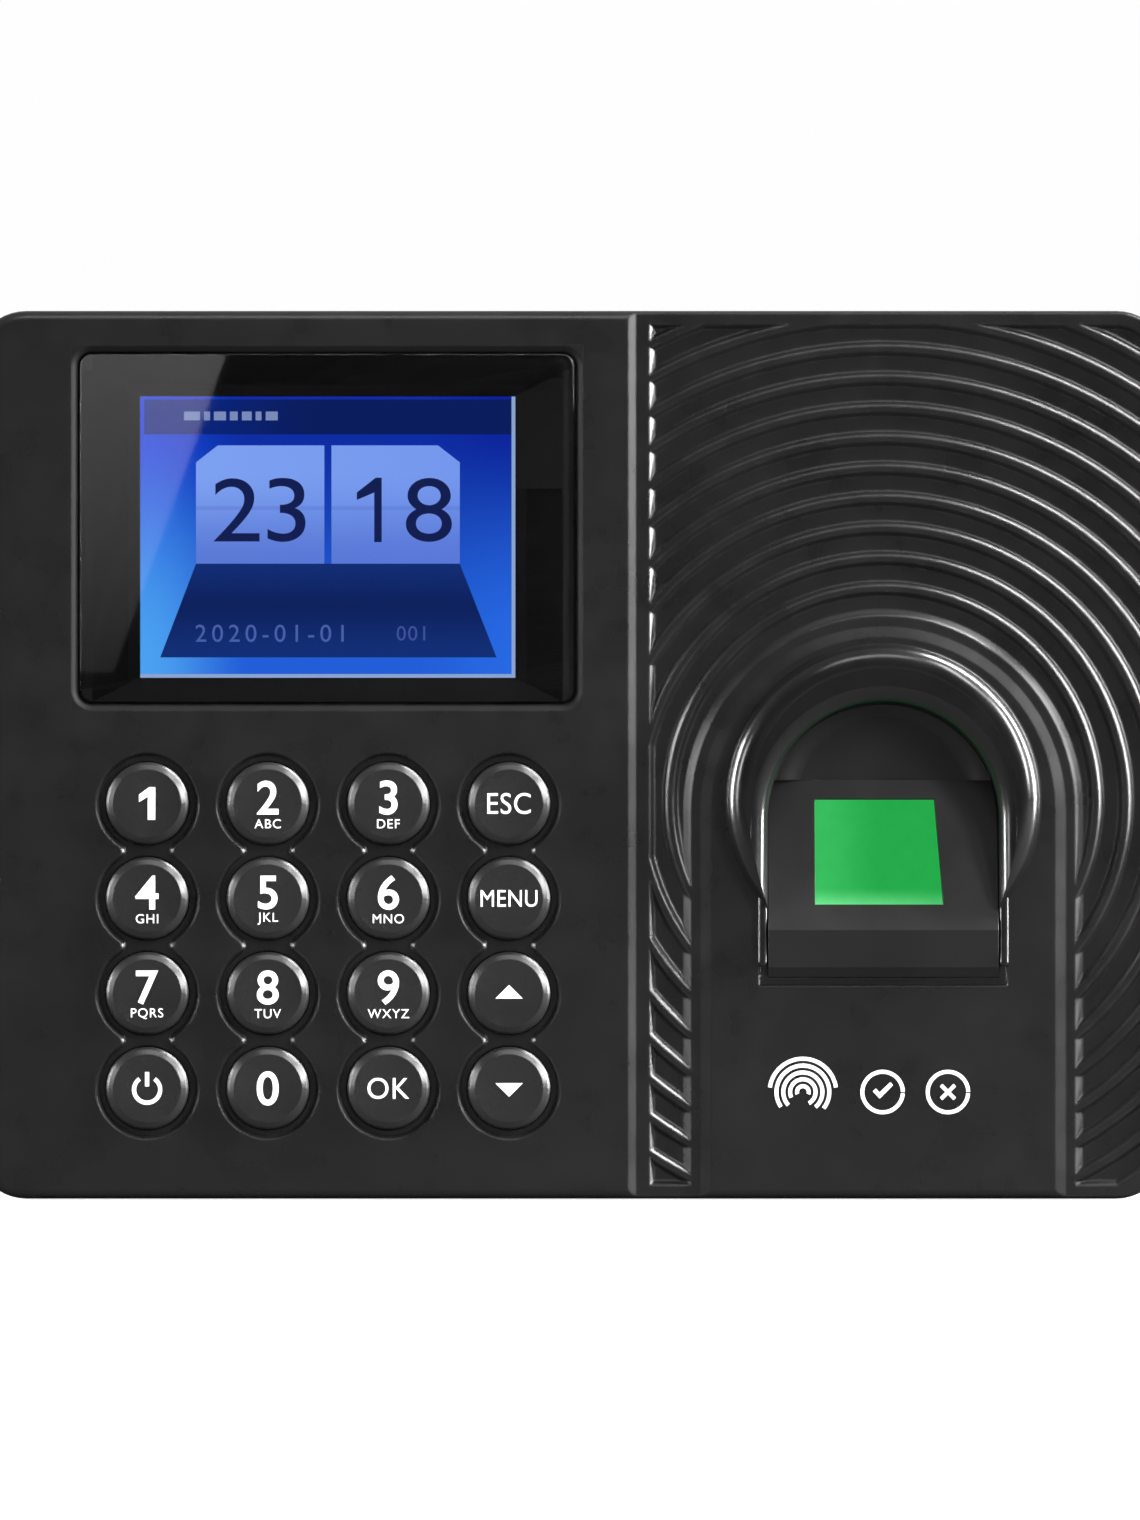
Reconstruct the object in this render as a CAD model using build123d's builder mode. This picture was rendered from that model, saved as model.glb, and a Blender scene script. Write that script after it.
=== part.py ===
"""Wall-mounted fingerprint terminal: a moulded case with a colour display, sixteen keys and an optical sensor.

Millimetres. +X is to the right of someone facing the terminal and +Z is up. The wall is the plane Y = 0 and
the terminal stands out from it towards -Y: a "depth" below is a distance from the wall, measured along -Y.
"""

import os
from math import atan, cos, degrees, radians, sin

from build123d import *

# ---- case ----------------------------------------------------------------------------------------
WIDTH, HEIGHT, CORNER_R = 183.0, 136.0, 8.0
FACE = 34.0  # depth of the front face
PARTING = 18.0  # depth of the seam between the two covers
SEAM = 0.3  # shadow gap at that seam
BACK = 0.4  # depth of the rear cover's back face
BACK_WIDTH, BACK_HEIGHT = 175.0, 128.0  # the rear cover tapers to this size
EDGE_R = 1.6  # rounding of the front edge
WALL = 2.2
PLATE = 3.0  # thickness of the front plate
PLATE_BACK = FACE - PLATE
FLOOR = BACK + 2.4  # depth of the rear cover's inner floor
LIP, LIP_GAP, LIP_H = 1.0, 0.2, 2.0  # locating lip that stands up from the rear cover
CASE_SCREWS = ((-81.5, 58.0), (81.5, 58.0), (-81.5, -58.0), (81.5, -58.0), (12.0, 59.0), (17.0, -59.0))
CASE_SCREW_SEAT = 9.0  # depth at which the heads of the case screws bear

# ---- relief of the front face --------------------------------------------------------------------
STEP = 0.5  # the ribs of the ring field lie this far below the face
GROOVE = 0.7  # the grooves are this much deeper again
RIB_LEVEL = FACE - STEP
GROOVE_LEVEL = RIB_LEVEL - GROOVE
STEP_X, STEP_BEVEL = 8.65, 1.25  # bevelled step between the left panel and the ring field
FIELD_X, FIELD_MARGIN = 12.0, 2.1  # the grooves start at this X and end this far inside the outline
RING_PITCH, RING_START, RING_WIDTH, RING_COUNT = 4.59, 28.8, 3.0, 13
TOMB_R, TOMB_BEVEL, TOMB_DROP = 26.3, 1.7, -1.2  # smooth arch-topped area round the sensor
TOMB_EDGE, TOMB_SLOPE = 29.4, 1.2  # half width at which the grooves end, and the slope of their ends

# ---- finger sensor -------------------------------------------------------------------------------
FINGER_X, FINGER_Z = 47.7, -7.1  # axis of the rings and of the arch
ARCH_R, ARCH_RISE = 24.3, 3.0  # outer radius of the arch and its height over the face
ARCH_CREST_R, ARCH_ROUND = 20.4, 2.6  # radius of its highest line, and width of the rounding inside it
ARCH_LIP_W, ARCH_LIP_RISE = 1.5, 1.0  # the two beads that run down from its ends
ARCH_LIP_TOP, ARCH_LIP_BOTTOM = -12.0, -25.3
WELL_R, WELL_DROP, WELL_BOTTOM = 17.7, -2.75, -27.0  # inside of the arch, from the finger axis
COLLAR = 1.1  # thickness of the arch's collar inside the front plate's opening
RAMP_Z, CUP_Z = -19.7, 3.2  # ends of the sloping sensor face, from the finger axis
RAMP_DEPTH, CUP_DEPTH = FACE + 1.2, FACE - 4.5  # and their depths
CUP_FLOOR = FACE - 5.4  # deepest point of the fingertip cup
WELL_BACK = 22.0  # depth of the well's back
FLANGE_W, FLANGE_H, FLANGE_FRONT, FLANGE_T, FLANGE_DROP = 50.0, 58.0, 28.2, 1.7, -3.0
WELL_BOSS = (21.8, 22.0)
WINDOW_Z = -7.75  # middle of the window, from the finger axis
WINDOW_LEFT, WINDOW_RIGHT_TOP, WINDOW_RIGHT_BOTTOM, WINDOW_HALF_H = -10.4, 8.0, 9.2, 8.3
SKIN = 2.0  # thickness of the sensor face round the window
PRISM_W, PRISM_H, PRISM_T = 22.0, 19.6, 7.0
HOUSING_W, HOUSING_H, HOUSING_END = 27.0, 23.0, 17.0
SENSOR_SCREW_X = 15.65

# ---- display -------------------------------------------------------------------------------------
LCD_X, LCD_Z = -37.4, 33.4
ACTIVE_W, ACTIVE_H = 57.6, 43.2  # a 2.8 inch panel
LENS_Z, LENS_W, LENS_H, LENS_R = 34.7, 76.0, 53.6, 2.2
LENS_T, LENS_SINK, ADHESIVE_T, LENS_GAP = 1.2, 0.25, 0.15, 0.2
RECESS_LEVEL = FACE - LENS_SINK - LENS_T - ADHESIVE_T
OPENING_W, OPENING_H = ACTIVE_W + 3.4, ACTIVE_H + 3.4
GASKET_T = 0.6
MODULE_W, MODULE_H, MODULE_T = 69.4, 50.4, 4.2
MODULE_FRONT = PLATE_BACK - GASKET_T
RETAINER_FRONT, RETAINER_T = PLATE_BACK - 4.9, 1.6
LCD_BOSS = (38.5, 20.0)
FLEX_X = -28.0

# ---- keys ----------------------------------------------------------------------------------------
KEY_X, KEY_PITCH_X = -64.9, 18.45  # first column
KEY_Z, KEY_PITCH_Z = -7.45, 14.52  # first row
KEY_NAMES = (
    ("1", "2", "3", "esc"),
    ("4", "5", "6", "menu"),
    ("7", "8", "9", "up"),
    ("power", "0", "ok", "down"),
)
KEY_R, KEY_TOP_R, KEY_FLANGE_R, KEY_PLUNGER_R = 6.3, 5.2, 6.95, 2.6
KEY_TOP, KEY_DISH = FACE + 0.9, 0.2  # depth of the key's rim and the hollow of its top
KEY_GAP, KEY_TRAVEL = 0.15, 1.0
CHANNEL_R, CHANNEL_DEPTH, CHANNEL_WAIST = 7.4, 0.9, 7.0  # shallow channel round each column of keys
BOARD_T = 1.6
KEY_BOARD = 24.6  # depth of the keypad board's back
KEY_BOARD_FRONT = KEY_BOARD + BOARD_T
KEY_BOARD_X, KEY_BOARD_Z, KEY_BOARD_W, KEY_BOARD_H = -37.2, -29.2, 78.0, 64.0
KEY_BOSS = (36.0, 29.0)
MAT_T, COLLAR_H = 1.0, 1.5

# ---- inside the rear cover -----------------------------------------------------------------------
MAIN_BOARD = 8.0  # depth of the main board's back
MAIN_FRONT = MAIN_BOARD + BOARD_T
MAIN_X, MAIN_Z, MAIN_W, MAIN_H = 8.0, -17.0, 116.0, 90.0
MAIN_BOSS = (53.0, 40.0)
CONNECTOR_H = 2.4
USB_X, USB_W, USB_H, USB_L, USB_FACE = 31.0, 13.2, 5.9, 14.0, -66.3
JACK_X, JACK_W, JACK_H, JACK_L, JACK_FACE = -20.0, 9.0, 7.6, 13.0, -63.3
JACK_BORE_R, JACK_DEPTH = 2.8, MAIN_FRONT + 3.8
SPEAKER = (-68.0, -28.0)
SPEAKER_R = 13.0
RELAY = (44.0, 19.0)
CELL = (-30.0, 2.0)
CELL_R, CELL_T = 10.0, 3.2
KEYPAD_SOCKET = (-20.0, -16.0)
SENSOR_SOCKET = (47.7, -30.5)
WIRING = (4.0, 0.0)
WIRING_W, WIRING_H, WIRING_FACE = 24.0, 7.0, 2.4
CHIPS = (
    ((5.0, -16.0), (14.0, 14.0), 1.2),
    ((5.0, -34.0), (11.0, 9.0), 1.0),
    ((21.0, -16.0), (9.0, 11.0), 1.0),
    ((-4.0, 16.0), (6.0, 5.0), 1.4),
    ((16.0, 16.0), (7.0, 7.0), 1.0),
    ((42.0, -12.0), (5.0, 6.0), 1.2),
    ((-36.0, -33.0), (5.0, 4.0), 1.4),
    ((-2.0, -43.0), (4.0, 4.0), 1.2),
)
CAPACITORS = ((-38.0, -46.0), (-29.0, -46.0), (26.0, 20.0), (44.0, -48.0))

# ---- wall bracket --------------------------------------------------------------------------------
SHEET = 1.5
BRACKET_W, BRACKET_H, BRACKET_R, BRACKET_ROOM = 98.0, 76.0, 5.0, 2.0
RECESS, RECESS_INNER = 1.7, 3.9  # outer and inner depths of the wall behind the bracket's recess
WALL_HOLES_X, WALL_HOLES_Z, WALL_HOLE_R = 60.0, 50.0, 2.4
HOOK_X, HOOK_ZS, HOOK_W, HOOK_RISE = 42.0, (10.0, -26.0), 10.0, 4.5
HOOK_GAP = 0.15
TAB_W, TAB_Z, TAB_END, TAB_HOLE = 14.0, -58.5, 12.0, 7.5  # bent tab for the security screw
POCKET_W, POCKET_TOP, POCKET_END = 18.0, -55.5, 13.0  # pocket in the rear cover round that tab
PADS = ((-70.0, 54.0), (70.0, 54.0), (-70.0, -54.0), (70.0, -54.0))

FINGER = (FINGER_X, FINGER_Z)
WELL_CENTRE = (FINGER_X, FINGER_Z + FLANGE_DROP)
LCD = (LCD_X, LCD_Z)
LENS = (LCD_X, LENS_Z)
KEY_BOARD_CENTRE = (KEY_BOARD_X, KEY_BOARD_Z)
MAIN_CENTRE = (MAIN_X, MAIN_Z)
KEY_CENTRES = {
    name: (KEY_X + column * KEY_PITCH_X, KEY_Z - row * KEY_PITCH_Z)
    for row, names in enumerate(KEY_NAMES)
    for column, name in enumerate(names)
}

# Plane of the sensor face: origin behind the middle of the window, local y up the face, normal outward.
FALL = (RAMP_DEPTH - CUP_DEPTH) / (CUP_Z - RAMP_Z)
TILT = degrees(atan(FALL))
SENSOR = Plane(
    origin=(FINGER_X, -(RAMP_DEPTH - (WINDOW_Z - RAMP_Z) * FALL), FINGER_Z + WINDOW_Z),
    x_dir=(1, 0, 0),
    z_dir=(0, -cos(radians(TILT)), sin(radians(TILT))),
)


# ---- helpers -------------------------------------------------------------------------------------
def at(depth):
    """The plane parallel to the wall at that depth: local x is X, local y is Z, the normal faces the viewer."""
    return Plane.XZ.offset(depth)


def spot(centre, depth, direction=-1):
    """A plane centred on one point of the front view; its normal runs along +Y or, by default, -Y."""
    return Plane(origin=(centre[0], -depth, centre[1]), x_dir=(1, 0, 0), z_dir=(0, direction, 0))


def four(centre, spread):
    """The corners of a rectangle, given its centre and its two half spacings."""
    return [(centre[0] + i * spread[0], centre[1] + j * spread[1]) for i in (-1, 1) for j in (-1, 1)]


def rounded(width, height, radius, centre=(0, 0)):
    with BuildSketch() as outline:
        with Locations(centre):
            RectangleRounded(width, height, radius)
    return outline.sketch


def arch(half_width, centre_z, bottom_z):
    """A tombstone, a half circle over straight sides, placed by the finger axis."""
    with BuildSketch() as outline:
        with BuildLine():
            Line((half_width, centre_z), (half_width, bottom_z))
            Line((half_width, bottom_z), (-half_width, bottom_z))
            Line((-half_width, bottom_z), (-half_width, centre_z))
            ThreePointArc((-half_width, centre_z), (0, centre_z + half_width), (half_width, centre_z))
        make_face()
    return outline.sketch.moved(Location((FINGER_X, FINGER_Z)))


def ring_field(inset):
    """The outline inside which the grooves lie: the case's own corners on the right, square on the left."""
    margin = FIELD_MARGIN + inset
    with BuildSketch() as outline:
        RectangleRounded(WIDTH - 2 * margin, HEIGHT - 2 * margin, CORNER_R - margin)
        with Locations((FIELD_X + inset - WIDTH / 2, 0)):
            Rectangle(WIDTH, HEIGHT, mode=Mode.SUBTRACT)
    return outline.sketch


def key_channel(column_x):
    """Four circles joined by waists whose sides are arcs tangent to the circles."""
    half = KEY_PITCH_Z / 2
    waist_r = (CHANNEL_WAIST**2 / 4 + half**2 - CHANNEL_R**2) / (2 * CHANNEL_R - CHANNEL_WAIST)
    waist_x = CHANNEL_WAIST / 2 + waist_r
    share = CHANNEL_R / (CHANNEL_R + waist_r)
    with BuildSketch() as outline:
        with Locations(*[(column_x, KEY_Z - row * KEY_PITCH_Z) for row in range(4)]):
            Circle(CHANNEL_R)
        gaps = [KEY_Z - (row + 0.5) * KEY_PITCH_Z for row in range(3)]
        with Locations(*[(column_x, gap) for gap in gaps]):
            Rectangle(2 * waist_x * share, 2 * half * (1 - share))
        with Locations(*[(column_x + side * waist_x, gap) for gap in gaps for side in (-1, 1)]):
            Circle(waist_r, mode=Mode.SUBTRACT)
    return outline.sketch


def prism(outline, start, end, mode=Mode.ADD):
    """A flat outline carried straight from one depth to another."""
    with BuildSketch(at(start)) as base:
        add(outline)
    extrude(base.sketch, amount=end - start, mode=mode)


def between(low, high, mode=Mode.ADD):
    """A ruled solid between two (outline, depth) pairs."""
    sections = []
    for outline, depth in (low, high):
        with BuildSketch(at(depth)) as section:
            add(outline)
        sections.append(section.sketch)
    loft(sections, ruled=True, mode=mode)


def slab(centre, size, start, end, radius=0.0, mode=Mode.ADD):
    """A plate parallel to the wall, round-cornered if a radius is given."""
    with BuildSketch(at(start)) as base:
        with Locations(centre):
            if radius:
                RectangleRounded(*size, radius)
            else:
                Rectangle(*size)
    extrude(base.sketch, amount=end - start, mode=mode)


def post(centre, radius, start, end, mode=Mode.ADD):
    """A round post or hole square to the wall."""
    with BuildSketch(at(start)) as base:
        with Locations(centre):
            Circle(radius)
    extrude(base.sketch, amount=end - start, mode=mode)


def block(plane, size, start, end, mode=Mode.ADD, centre=(0, 0), radius=0.0):
    """The same as a slab, but standing on any plane."""
    with BuildSketch(plane.offset(start)) as base:
        with Locations(centre):
            if radius:
                RectangleRounded(*size, radius)
            else:
                Rectangle(*size)
    extrude(base.sketch, amount=end - start, mode=mode)


def rod(plane, radius, start, end, mode=Mode.ADD, centre=(0, 0)):
    """The same as a post, but standing on any plane."""
    with BuildSketch(plane.offset(start)) as base:
        with Locations(centre):
            Circle(radius)
    extrude(base.sketch, amount=end - start, mode=mode)


def turned(centre, points, mode=Mode.ADD):
    """A solid of revolution about an axis square to the wall, from (radius, depth) points."""
    with BuildSketch(Plane(origin=(centre[0], 0, centre[1]), x_dir=(1, 0, 0), z_dir=(0, 0, 1))) as profile:
        Polygon(*[(radius, -depth) for radius, depth in points], align=None)
    revolve(profile.sketch, axis=Axis((centre[0], 0, centre[1]), (0, 1, 0)), mode=mode)


def screw(plane, shank_r, length, head_r, head_h):
    """A cross-head screw: the plane lies under its head, with its normal along the shank."""
    rod(plane, shank_r, 0, length)
    rod(plane, head_r, -head_h, 0)
    block(plane, (head_r * 1.2, head_r * 0.28), -head_h, -head_h * 0.4, Mode.SUBTRACT)
    block(plane, (head_r * 0.28, head_r * 1.2), -head_h, -head_h * 0.4, Mode.SUBTRACT)


def ribbon(x, width, thickness, bend, points):
    """A flat cable of constant width, folded along (depth, Z) points."""
    with BuildSketch(Plane.YZ.offset(x - width / 2)) as profile:
        with BuildLine() as path:
            FilletPolyline(*[(-depth, z) for depth, z in points], radius=bend)
        trace(path.line, line_width=thickness)
    extrude(profile.sketch, amount=width)


PARTS = {}


def keep(name, piece):
    piece.label = name
    PARTS[name] = piece


# ---- front cover ---------------------------------------------------------------------------------
# What lowers the ring field: it leaves the bevel of the left panel and the smooth arch-topped area.
with BuildPart() as field_cutter:
    slab((STEP_X + WIDTH / 2, 0), (WIDTH, HEIGHT + 2), RIB_LEVEL, FACE + 1)
    with BuildSketch(Plane.XY.offset(-HEIGHT)) as bevel:
        over = 0.2
        Polygon(
            (STEP_X - 1, -FACE),
            (STEP_X, -FACE),
            (STEP_X + STEP_BEVEL * (1 + over), -RIB_LEVEL + STEP * over),
            (STEP_X - 1, -RIB_LEVEL + STEP * over),
            align=None,
        )
    extrude(bevel.sketch, amount=2 * HEIGHT, mode=Mode.SUBTRACT)
    between(
        (arch(TOMB_R + TOMB_BEVEL, TOMB_DROP, -HEIGHT), RIB_LEVEL),
        (arch(TOMB_R, TOMB_DROP, -HEIGHT), FACE),
        Mode.SUBTRACT,
    )
    prism(arch(TOMB_R, TOMB_DROP, -HEIGHT), FACE, FACE + 1, Mode.SUBTRACT)

# The grooves: concentric rings with 45 degree sides, kept inside the field.
with BuildPart() as groove_cutter:
    for ring in range(RING_COUNT):
        inner = RING_START + ring * RING_PITCH
        outer = inner + RING_WIDTH
        turned(
            FINGER,
            [
                (inner + GROOVE / 2, GROOVE_LEVEL),
                (outer - GROOVE / 2, GROOVE_LEVEL),
                (outer + GROOVE * 0.9, RIB_LEVEL + GROOVE * 0.4),
                (inner - GROOVE * 0.9, RIB_LEVEL + GROOVE * 0.4),
            ],
        )
    between((ring_field(GROOVE), GROOVE_LEVEL), (ring_field(-GROOVE), RIB_LEVEL + GROOVE), Mode.INTERSECT)
    between(
        (arch(TOMB_EDGE + TOMB_SLOPE, TOMB_DROP, -HEIGHT), GROOVE_LEVEL),
        (arch(TOMB_EDGE - TOMB_SLOPE, TOMB_DROP, -HEIGHT), RIB_LEVEL + GROOVE),
        Mode.SUBTRACT,
    )

with BuildPart() as front_cover:
    slab((0, 0), (WIDTH, HEIGHT), PARTING + SEAM, FACE, CORNER_R)
    fillet(front_cover.faces().sort_by(Axis.Y)[0].edges(), EDGE_R)
    slab((0, 0), (WIDTH - 2 * WALL, HEIGHT - 2 * WALL), PARTING, PLATE_BACK, CORNER_R - WALL, Mode.SUBTRACT)
    add(field_cutter.part, mode=Mode.SUBTRACT)
    add(groove_cutter.part, mode=Mode.SUBTRACT)

    # the lens's recess, with a bevelled rim, and the opening over the panel
    recess_size = (LENS_W + 2 * LENS_GAP, LENS_H + 2 * LENS_GAP)
    slab(LENS, recess_size, RECESS_LEVEL, FACE, LENS_R, Mode.SUBTRACT)
    between(
        (rounded(*recess_size, LENS_R, LENS), FACE - 0.5),
        (rounded(recess_size[0] + 1.8, recess_size[1] + 1.8, LENS_R + 0.9, LENS), FACE),
        Mode.SUBTRACT,
    )
    slab(LCD, (OPENING_W, OPENING_H), PLATE_BACK - 1, FACE, 0.0, Mode.SUBTRACT)

    # each column of keys sits in a channel of merged circles with a bevelled rim
    for column in range(4):
        prism(key_channel(KEY_X + column * KEY_PITCH_X), FACE - CHANNEL_DEPTH, FACE, Mode.SUBTRACT)
    for centre in KEY_CENTRES.values():
        post(centre, KEY_R + KEY_GAP, PLATE_BACK, FACE, Mode.SUBTRACT)
    on_face = front_cover.edges().filter_by_position(Axis.Y, -FACE - 0.01, -FACE + 0.01)
    rims = [
        edge
        for edge in on_face
        if abs(edge.center().X - KEY_BOARD_X) < 37 and abs(edge.center().Z - KEY_BOARD_Z) < 31
    ]
    chamfer(rims, 0.45)

    # opening for the finger well and its collar
    opening_r = WELL_R + COLLAR + 0.1
    prism(
        arch(opening_r, WELL_DROP, WELL_BOTTOM - COLLAR - 0.1),
        PLATE_BACK - 1,
        FACE + 1,
        Mode.SUBTRACT,
    )

    # bosses with blind pilot holes
    for centre in CASE_SCREWS:
        post(centre, 3.6, PARTING + 1.0, PLATE_BACK)
        post(centre, 1.45, PARTING + 1.0, PLATE_BACK - 1.5, Mode.SUBTRACT)
    bosses = (
        (four(KEY_BOARD_CENTRE, KEY_BOSS), KEY_BOARD_FRONT, 2.4),
        (four(LCD, LCD_BOSS), RETAINER_FRONT, 2.4),
        (four(WELL_CENTRE, WELL_BOSS), FLANGE_FRONT, 2.6),
    )
    for centres, foot, radius in bosses:
        for centre in centres:
            post(centre, radius, foot, PLATE_BACK)
            post(centre, 1.0, foot, PLATE_BACK - 0.2, Mode.SUBTRACT)
keep("front_cover", front_cover.part)

# ---- display -------------------------------------------------------------------------------------
with BuildPart() as display_lens:
    slab(LENS, (LENS_W, LENS_H), RECESS_LEVEL + ADHESIVE_T, FACE - LENS_SINK, LENS_R - LENS_GAP)
    chamfer(display_lens.faces().sort_by(Axis.Y)[0].edges(), 0.25)
keep("display_lens", display_lens.part)

with BuildPart() as lens_adhesive:
    slab(LENS, (LENS_W - 0.6, LENS_H - 0.6), RECESS_LEVEL, RECESS_LEVEL + ADHESIVE_T, LENS_R - 0.4)
    slab(LCD, (ACTIVE_W, ACTIVE_H), RECESS_LEVEL, RECESS_LEVEL + ADHESIVE_T, 0.0, Mode.SUBTRACT)
keep("lens_adhesive", lens_adhesive.part)

with BuildPart() as lcd_gasket:
    slab(LCD, (MODULE_W - 1.4, MODULE_H - 0.4), MODULE_FRONT, PLATE_BACK)
    slab(LCD, (OPENING_W + 0.6, OPENING_H + 0.6), MODULE_FRONT, PLATE_BACK, 0.0, Mode.SUBTRACT)
keep("lcd_gasket", lcd_gasket.part)

with BuildPart() as lcd_frame:
    slab(LCD, (MODULE_W, MODULE_H), MODULE_FRONT - MODULE_T, MODULE_FRONT, 0.8)
    inner_size = (MODULE_W - 1.2, MODULE_H - 1.2)
    slab(LCD, inner_size, MODULE_FRONT - MODULE_T, MODULE_FRONT - 0.6, 0.0, Mode.SUBTRACT)
    slab(LCD, (ACTIVE_W + 1.6, ACTIVE_H + 1.6), MODULE_FRONT - 1, MODULE_FRONT, 0.0, Mode.SUBTRACT)
keep("lcd_frame", lcd_frame.part)

with BuildPart() as lcd_panel:
    slab(LCD, (MODULE_W - 1.6, MODULE_H - 1.6), MODULE_FRONT - 2.0, MODULE_FRONT - 0.7)
keep("lcd_panel", lcd_panel.part)

with BuildPart() as lcd_backlight:
    slab(LCD, (MODULE_W - 1.6, MODULE_H - 1.6), MODULE_FRONT - MODULE_T + 0.1, MODULE_FRONT - 2.1)
keep("lcd_backlight", lcd_backlight.part)

RETAINER_BACK = RETAINER_FRONT - RETAINER_T
with BuildPart() as lcd_retainer:
    slab(LCD, (MODULE_W + 1.0, MODULE_H + 0.6), RETAINER_BACK, RETAINER_FRONT, 1.5)
    for centre in four(LCD, LCD_BOSS):
        post(centre, 3.2, RETAINER_BACK, RETAINER_FRONT)
        slab((LCD_X, centre[1]), (2 * LCD_BOSS[0], 6.4), RETAINER_BACK, RETAINER_FRONT)
    slab(LCD, (MODULE_W - 14, MODULE_H - 12), RETAINER_BACK, RETAINER_FRONT, 2.0, Mode.SUBTRACT)
    for centre in four(LCD, LCD_BOSS):
        post(centre, 1.2, RETAINER_BACK, RETAINER_FRONT, Mode.SUBTRACT)
keep("lcd_retainer", lcd_retainer.part)

with BuildPart() as lcd_screws:
    for centre in four(LCD, LCD_BOSS):
        screw(spot(centre, RETAINER_BACK), 0.95, 5.5, 2.0, 1.2)
keep("lcd_screws", lcd_screws.part)

with BuildPart() as lcd_flex:
    flex_depth = MODULE_FRONT - MODULE_T - 0.1
    socket_depth = MAIN_FRONT + CONNECTOR_H / 2
    folds = ((flex_depth, LCD_Z + 10), (flex_depth, 31.0), (socket_depth, 31.0), (socket_depth, 24.6))
    ribbon(FLEX_X, 16.0, 0.2, 1.2, folds)
keep("lcd_flex", lcd_flex.part)

# ---- keypad --------------------------------------------------------------------------------------
with BuildPart() as keypad_board:
    slab(KEY_BOARD_CENTRE, (KEY_BOARD_W, KEY_BOARD_H), KEY_BOARD, KEY_BOARD_FRONT, 1.5)
    for centre in four(KEY_BOARD_CENTRE, KEY_BOSS):
        post(centre, 1.2, KEY_BOARD, KEY_BOARD_FRONT, Mode.SUBTRACT)
keep("keypad_board", keypad_board.part)

with BuildPart() as keypad_screws:
    for centre in four(KEY_BOARD_CENTRE, KEY_BOSS):
        screw(spot(centre, KEY_BOARD), 0.95, 5.6, 2.0, 1.2)
keep("keypad_screws", keypad_screws.part)

MAT_FRONT = KEY_BOARD_FRONT + MAT_T
with BuildPart() as keypad_mat:
    mat_size = (3 * KEY_PITCH_X + 10.6, 3 * KEY_PITCH_Z + 10.4)
    slab(KEY_BOARD_CENTRE, mat_size, KEY_BOARD_FRONT, MAT_FRONT, 2.0)
    for centre in KEY_CENTRES.values():
        turned(centre, [(0, KEY_BOARD_FRONT), (5.0, MAT_FRONT), (3.9, MAT_FRONT + COLLAR_H), (0, MAT_FRONT + COLLAR_H)])
        post(centre, 3.0, KEY_BOARD_FRONT, MAT_FRONT + COLLAR_H, Mode.SUBTRACT)
keep("keypad_mat", keypad_mat.part)

# A key: a bevelled, slightly hollowed cap over a retaining flange, with a plunger for the rubber mat.
FLANGE_TOP = PLATE_BACK - 0.1
FLANGE_FOOT = FLANGE_TOP - 0.95
PLUNGER_FOOT = KEY_BOARD_FRONT + KEY_TRAVEL + 0.1
for name, centre in KEY_CENTRES.items():
    with BuildPart() as key:
        turned(
            centre,
            [
                (0, PLUNGER_FOOT),
                (KEY_PLUNGER_R, PLUNGER_FOOT),
                (KEY_PLUNGER_R, FLANGE_FOOT),
                (KEY_FLANGE_R, FLANGE_FOOT),
                (KEY_FLANGE_R, FLANGE_TOP),
                (KEY_R, FLANGE_TOP),
                (KEY_R, FACE + 0.1),
                (KEY_R - 0.35, FACE + 0.5),
                (KEY_TOP_R, KEY_TOP),
                (0, KEY_TOP),
            ],
        )
        dish_r = (KEY_TOP_R**2 + KEY_DISH**2) / (2 * KEY_DISH)
        with Locations((centre[0], -(KEY_TOP - KEY_DISH + dish_r), centre[1])):
            Sphere(dish_r, mode=Mode.SUBTRACT)
        rod(spot(centre, FLANGE_FOOT), 5.2, 0, 3.0, Mode.SUBTRACT)
        rod(spot(centre, FLANGE_FOOT), 3.2, 0, 3.0)
    keep(f"key_{name}", key.part)

# ---- finger arch ---------------------------------------------------------------------------------
with BuildPart() as arch_lip:
    lip_z = (ARCH_LIP_TOP + ARCH_LIP_BOTTOM) / 2
    slab((0, lip_z), (ARCH_LIP_W, ARCH_LIP_TOP - ARCH_LIP_BOTTOM), FACE, FACE + ARCH_LIP_RISE, 0.7)
    fillet(arch_lip.faces().sort_by(Axis.Y)[0].edges(), 0.6)

# The mouth of the arch: what rounds off its inner side, all the way down to its ends.
MOUTH_Z = FINGER_Z + WELL_DROP
with BuildPart() as arch_mouth:
    with BuildSketch(Plane(origin=(FINGER_X, 0, MOUTH_Z), x_dir=(1, 0, 0), z_dir=(0, 0, 1))) as flare:
        with BuildLine():
            foot = (WELL_R - 0.1, -FACE - 0.2)
            rim = (WELL_R + ARCH_ROUND, -FACE - ARCH_RISE)
            ThreePointArc(foot, (WELL_R + ARCH_ROUND * 0.28, -FACE - ARCH_RISE * 0.74), rim)
            Line(rim, (WELL_R + ARCH_ROUND, -FACE - ARCH_RISE - 1))
            Line((WELL_R + ARCH_ROUND, -FACE - ARCH_RISE - 1), (WELL_R - 1, -FACE - ARCH_RISE - 1))
            Line((WELL_R - 1, -FACE - ARCH_RISE - 1), (WELL_R - 1, -FACE - 0.2))
            Line((WELL_R - 1, -FACE - 0.2), foot)
        make_face()
    revolve(flare.sketch, axis=Axis((FINGER_X, 0, MOUTH_Z), (0, 1, 0)))
    slab((FINGER_X, MOUTH_Z - 50), (100, 100), FACE - 5, FACE + 10, 0.0, Mode.SUBTRACT)
    extrude(flare.sketch, amount=-30)
    mirror(about=Plane.YZ.offset(FINGER_X))

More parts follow.
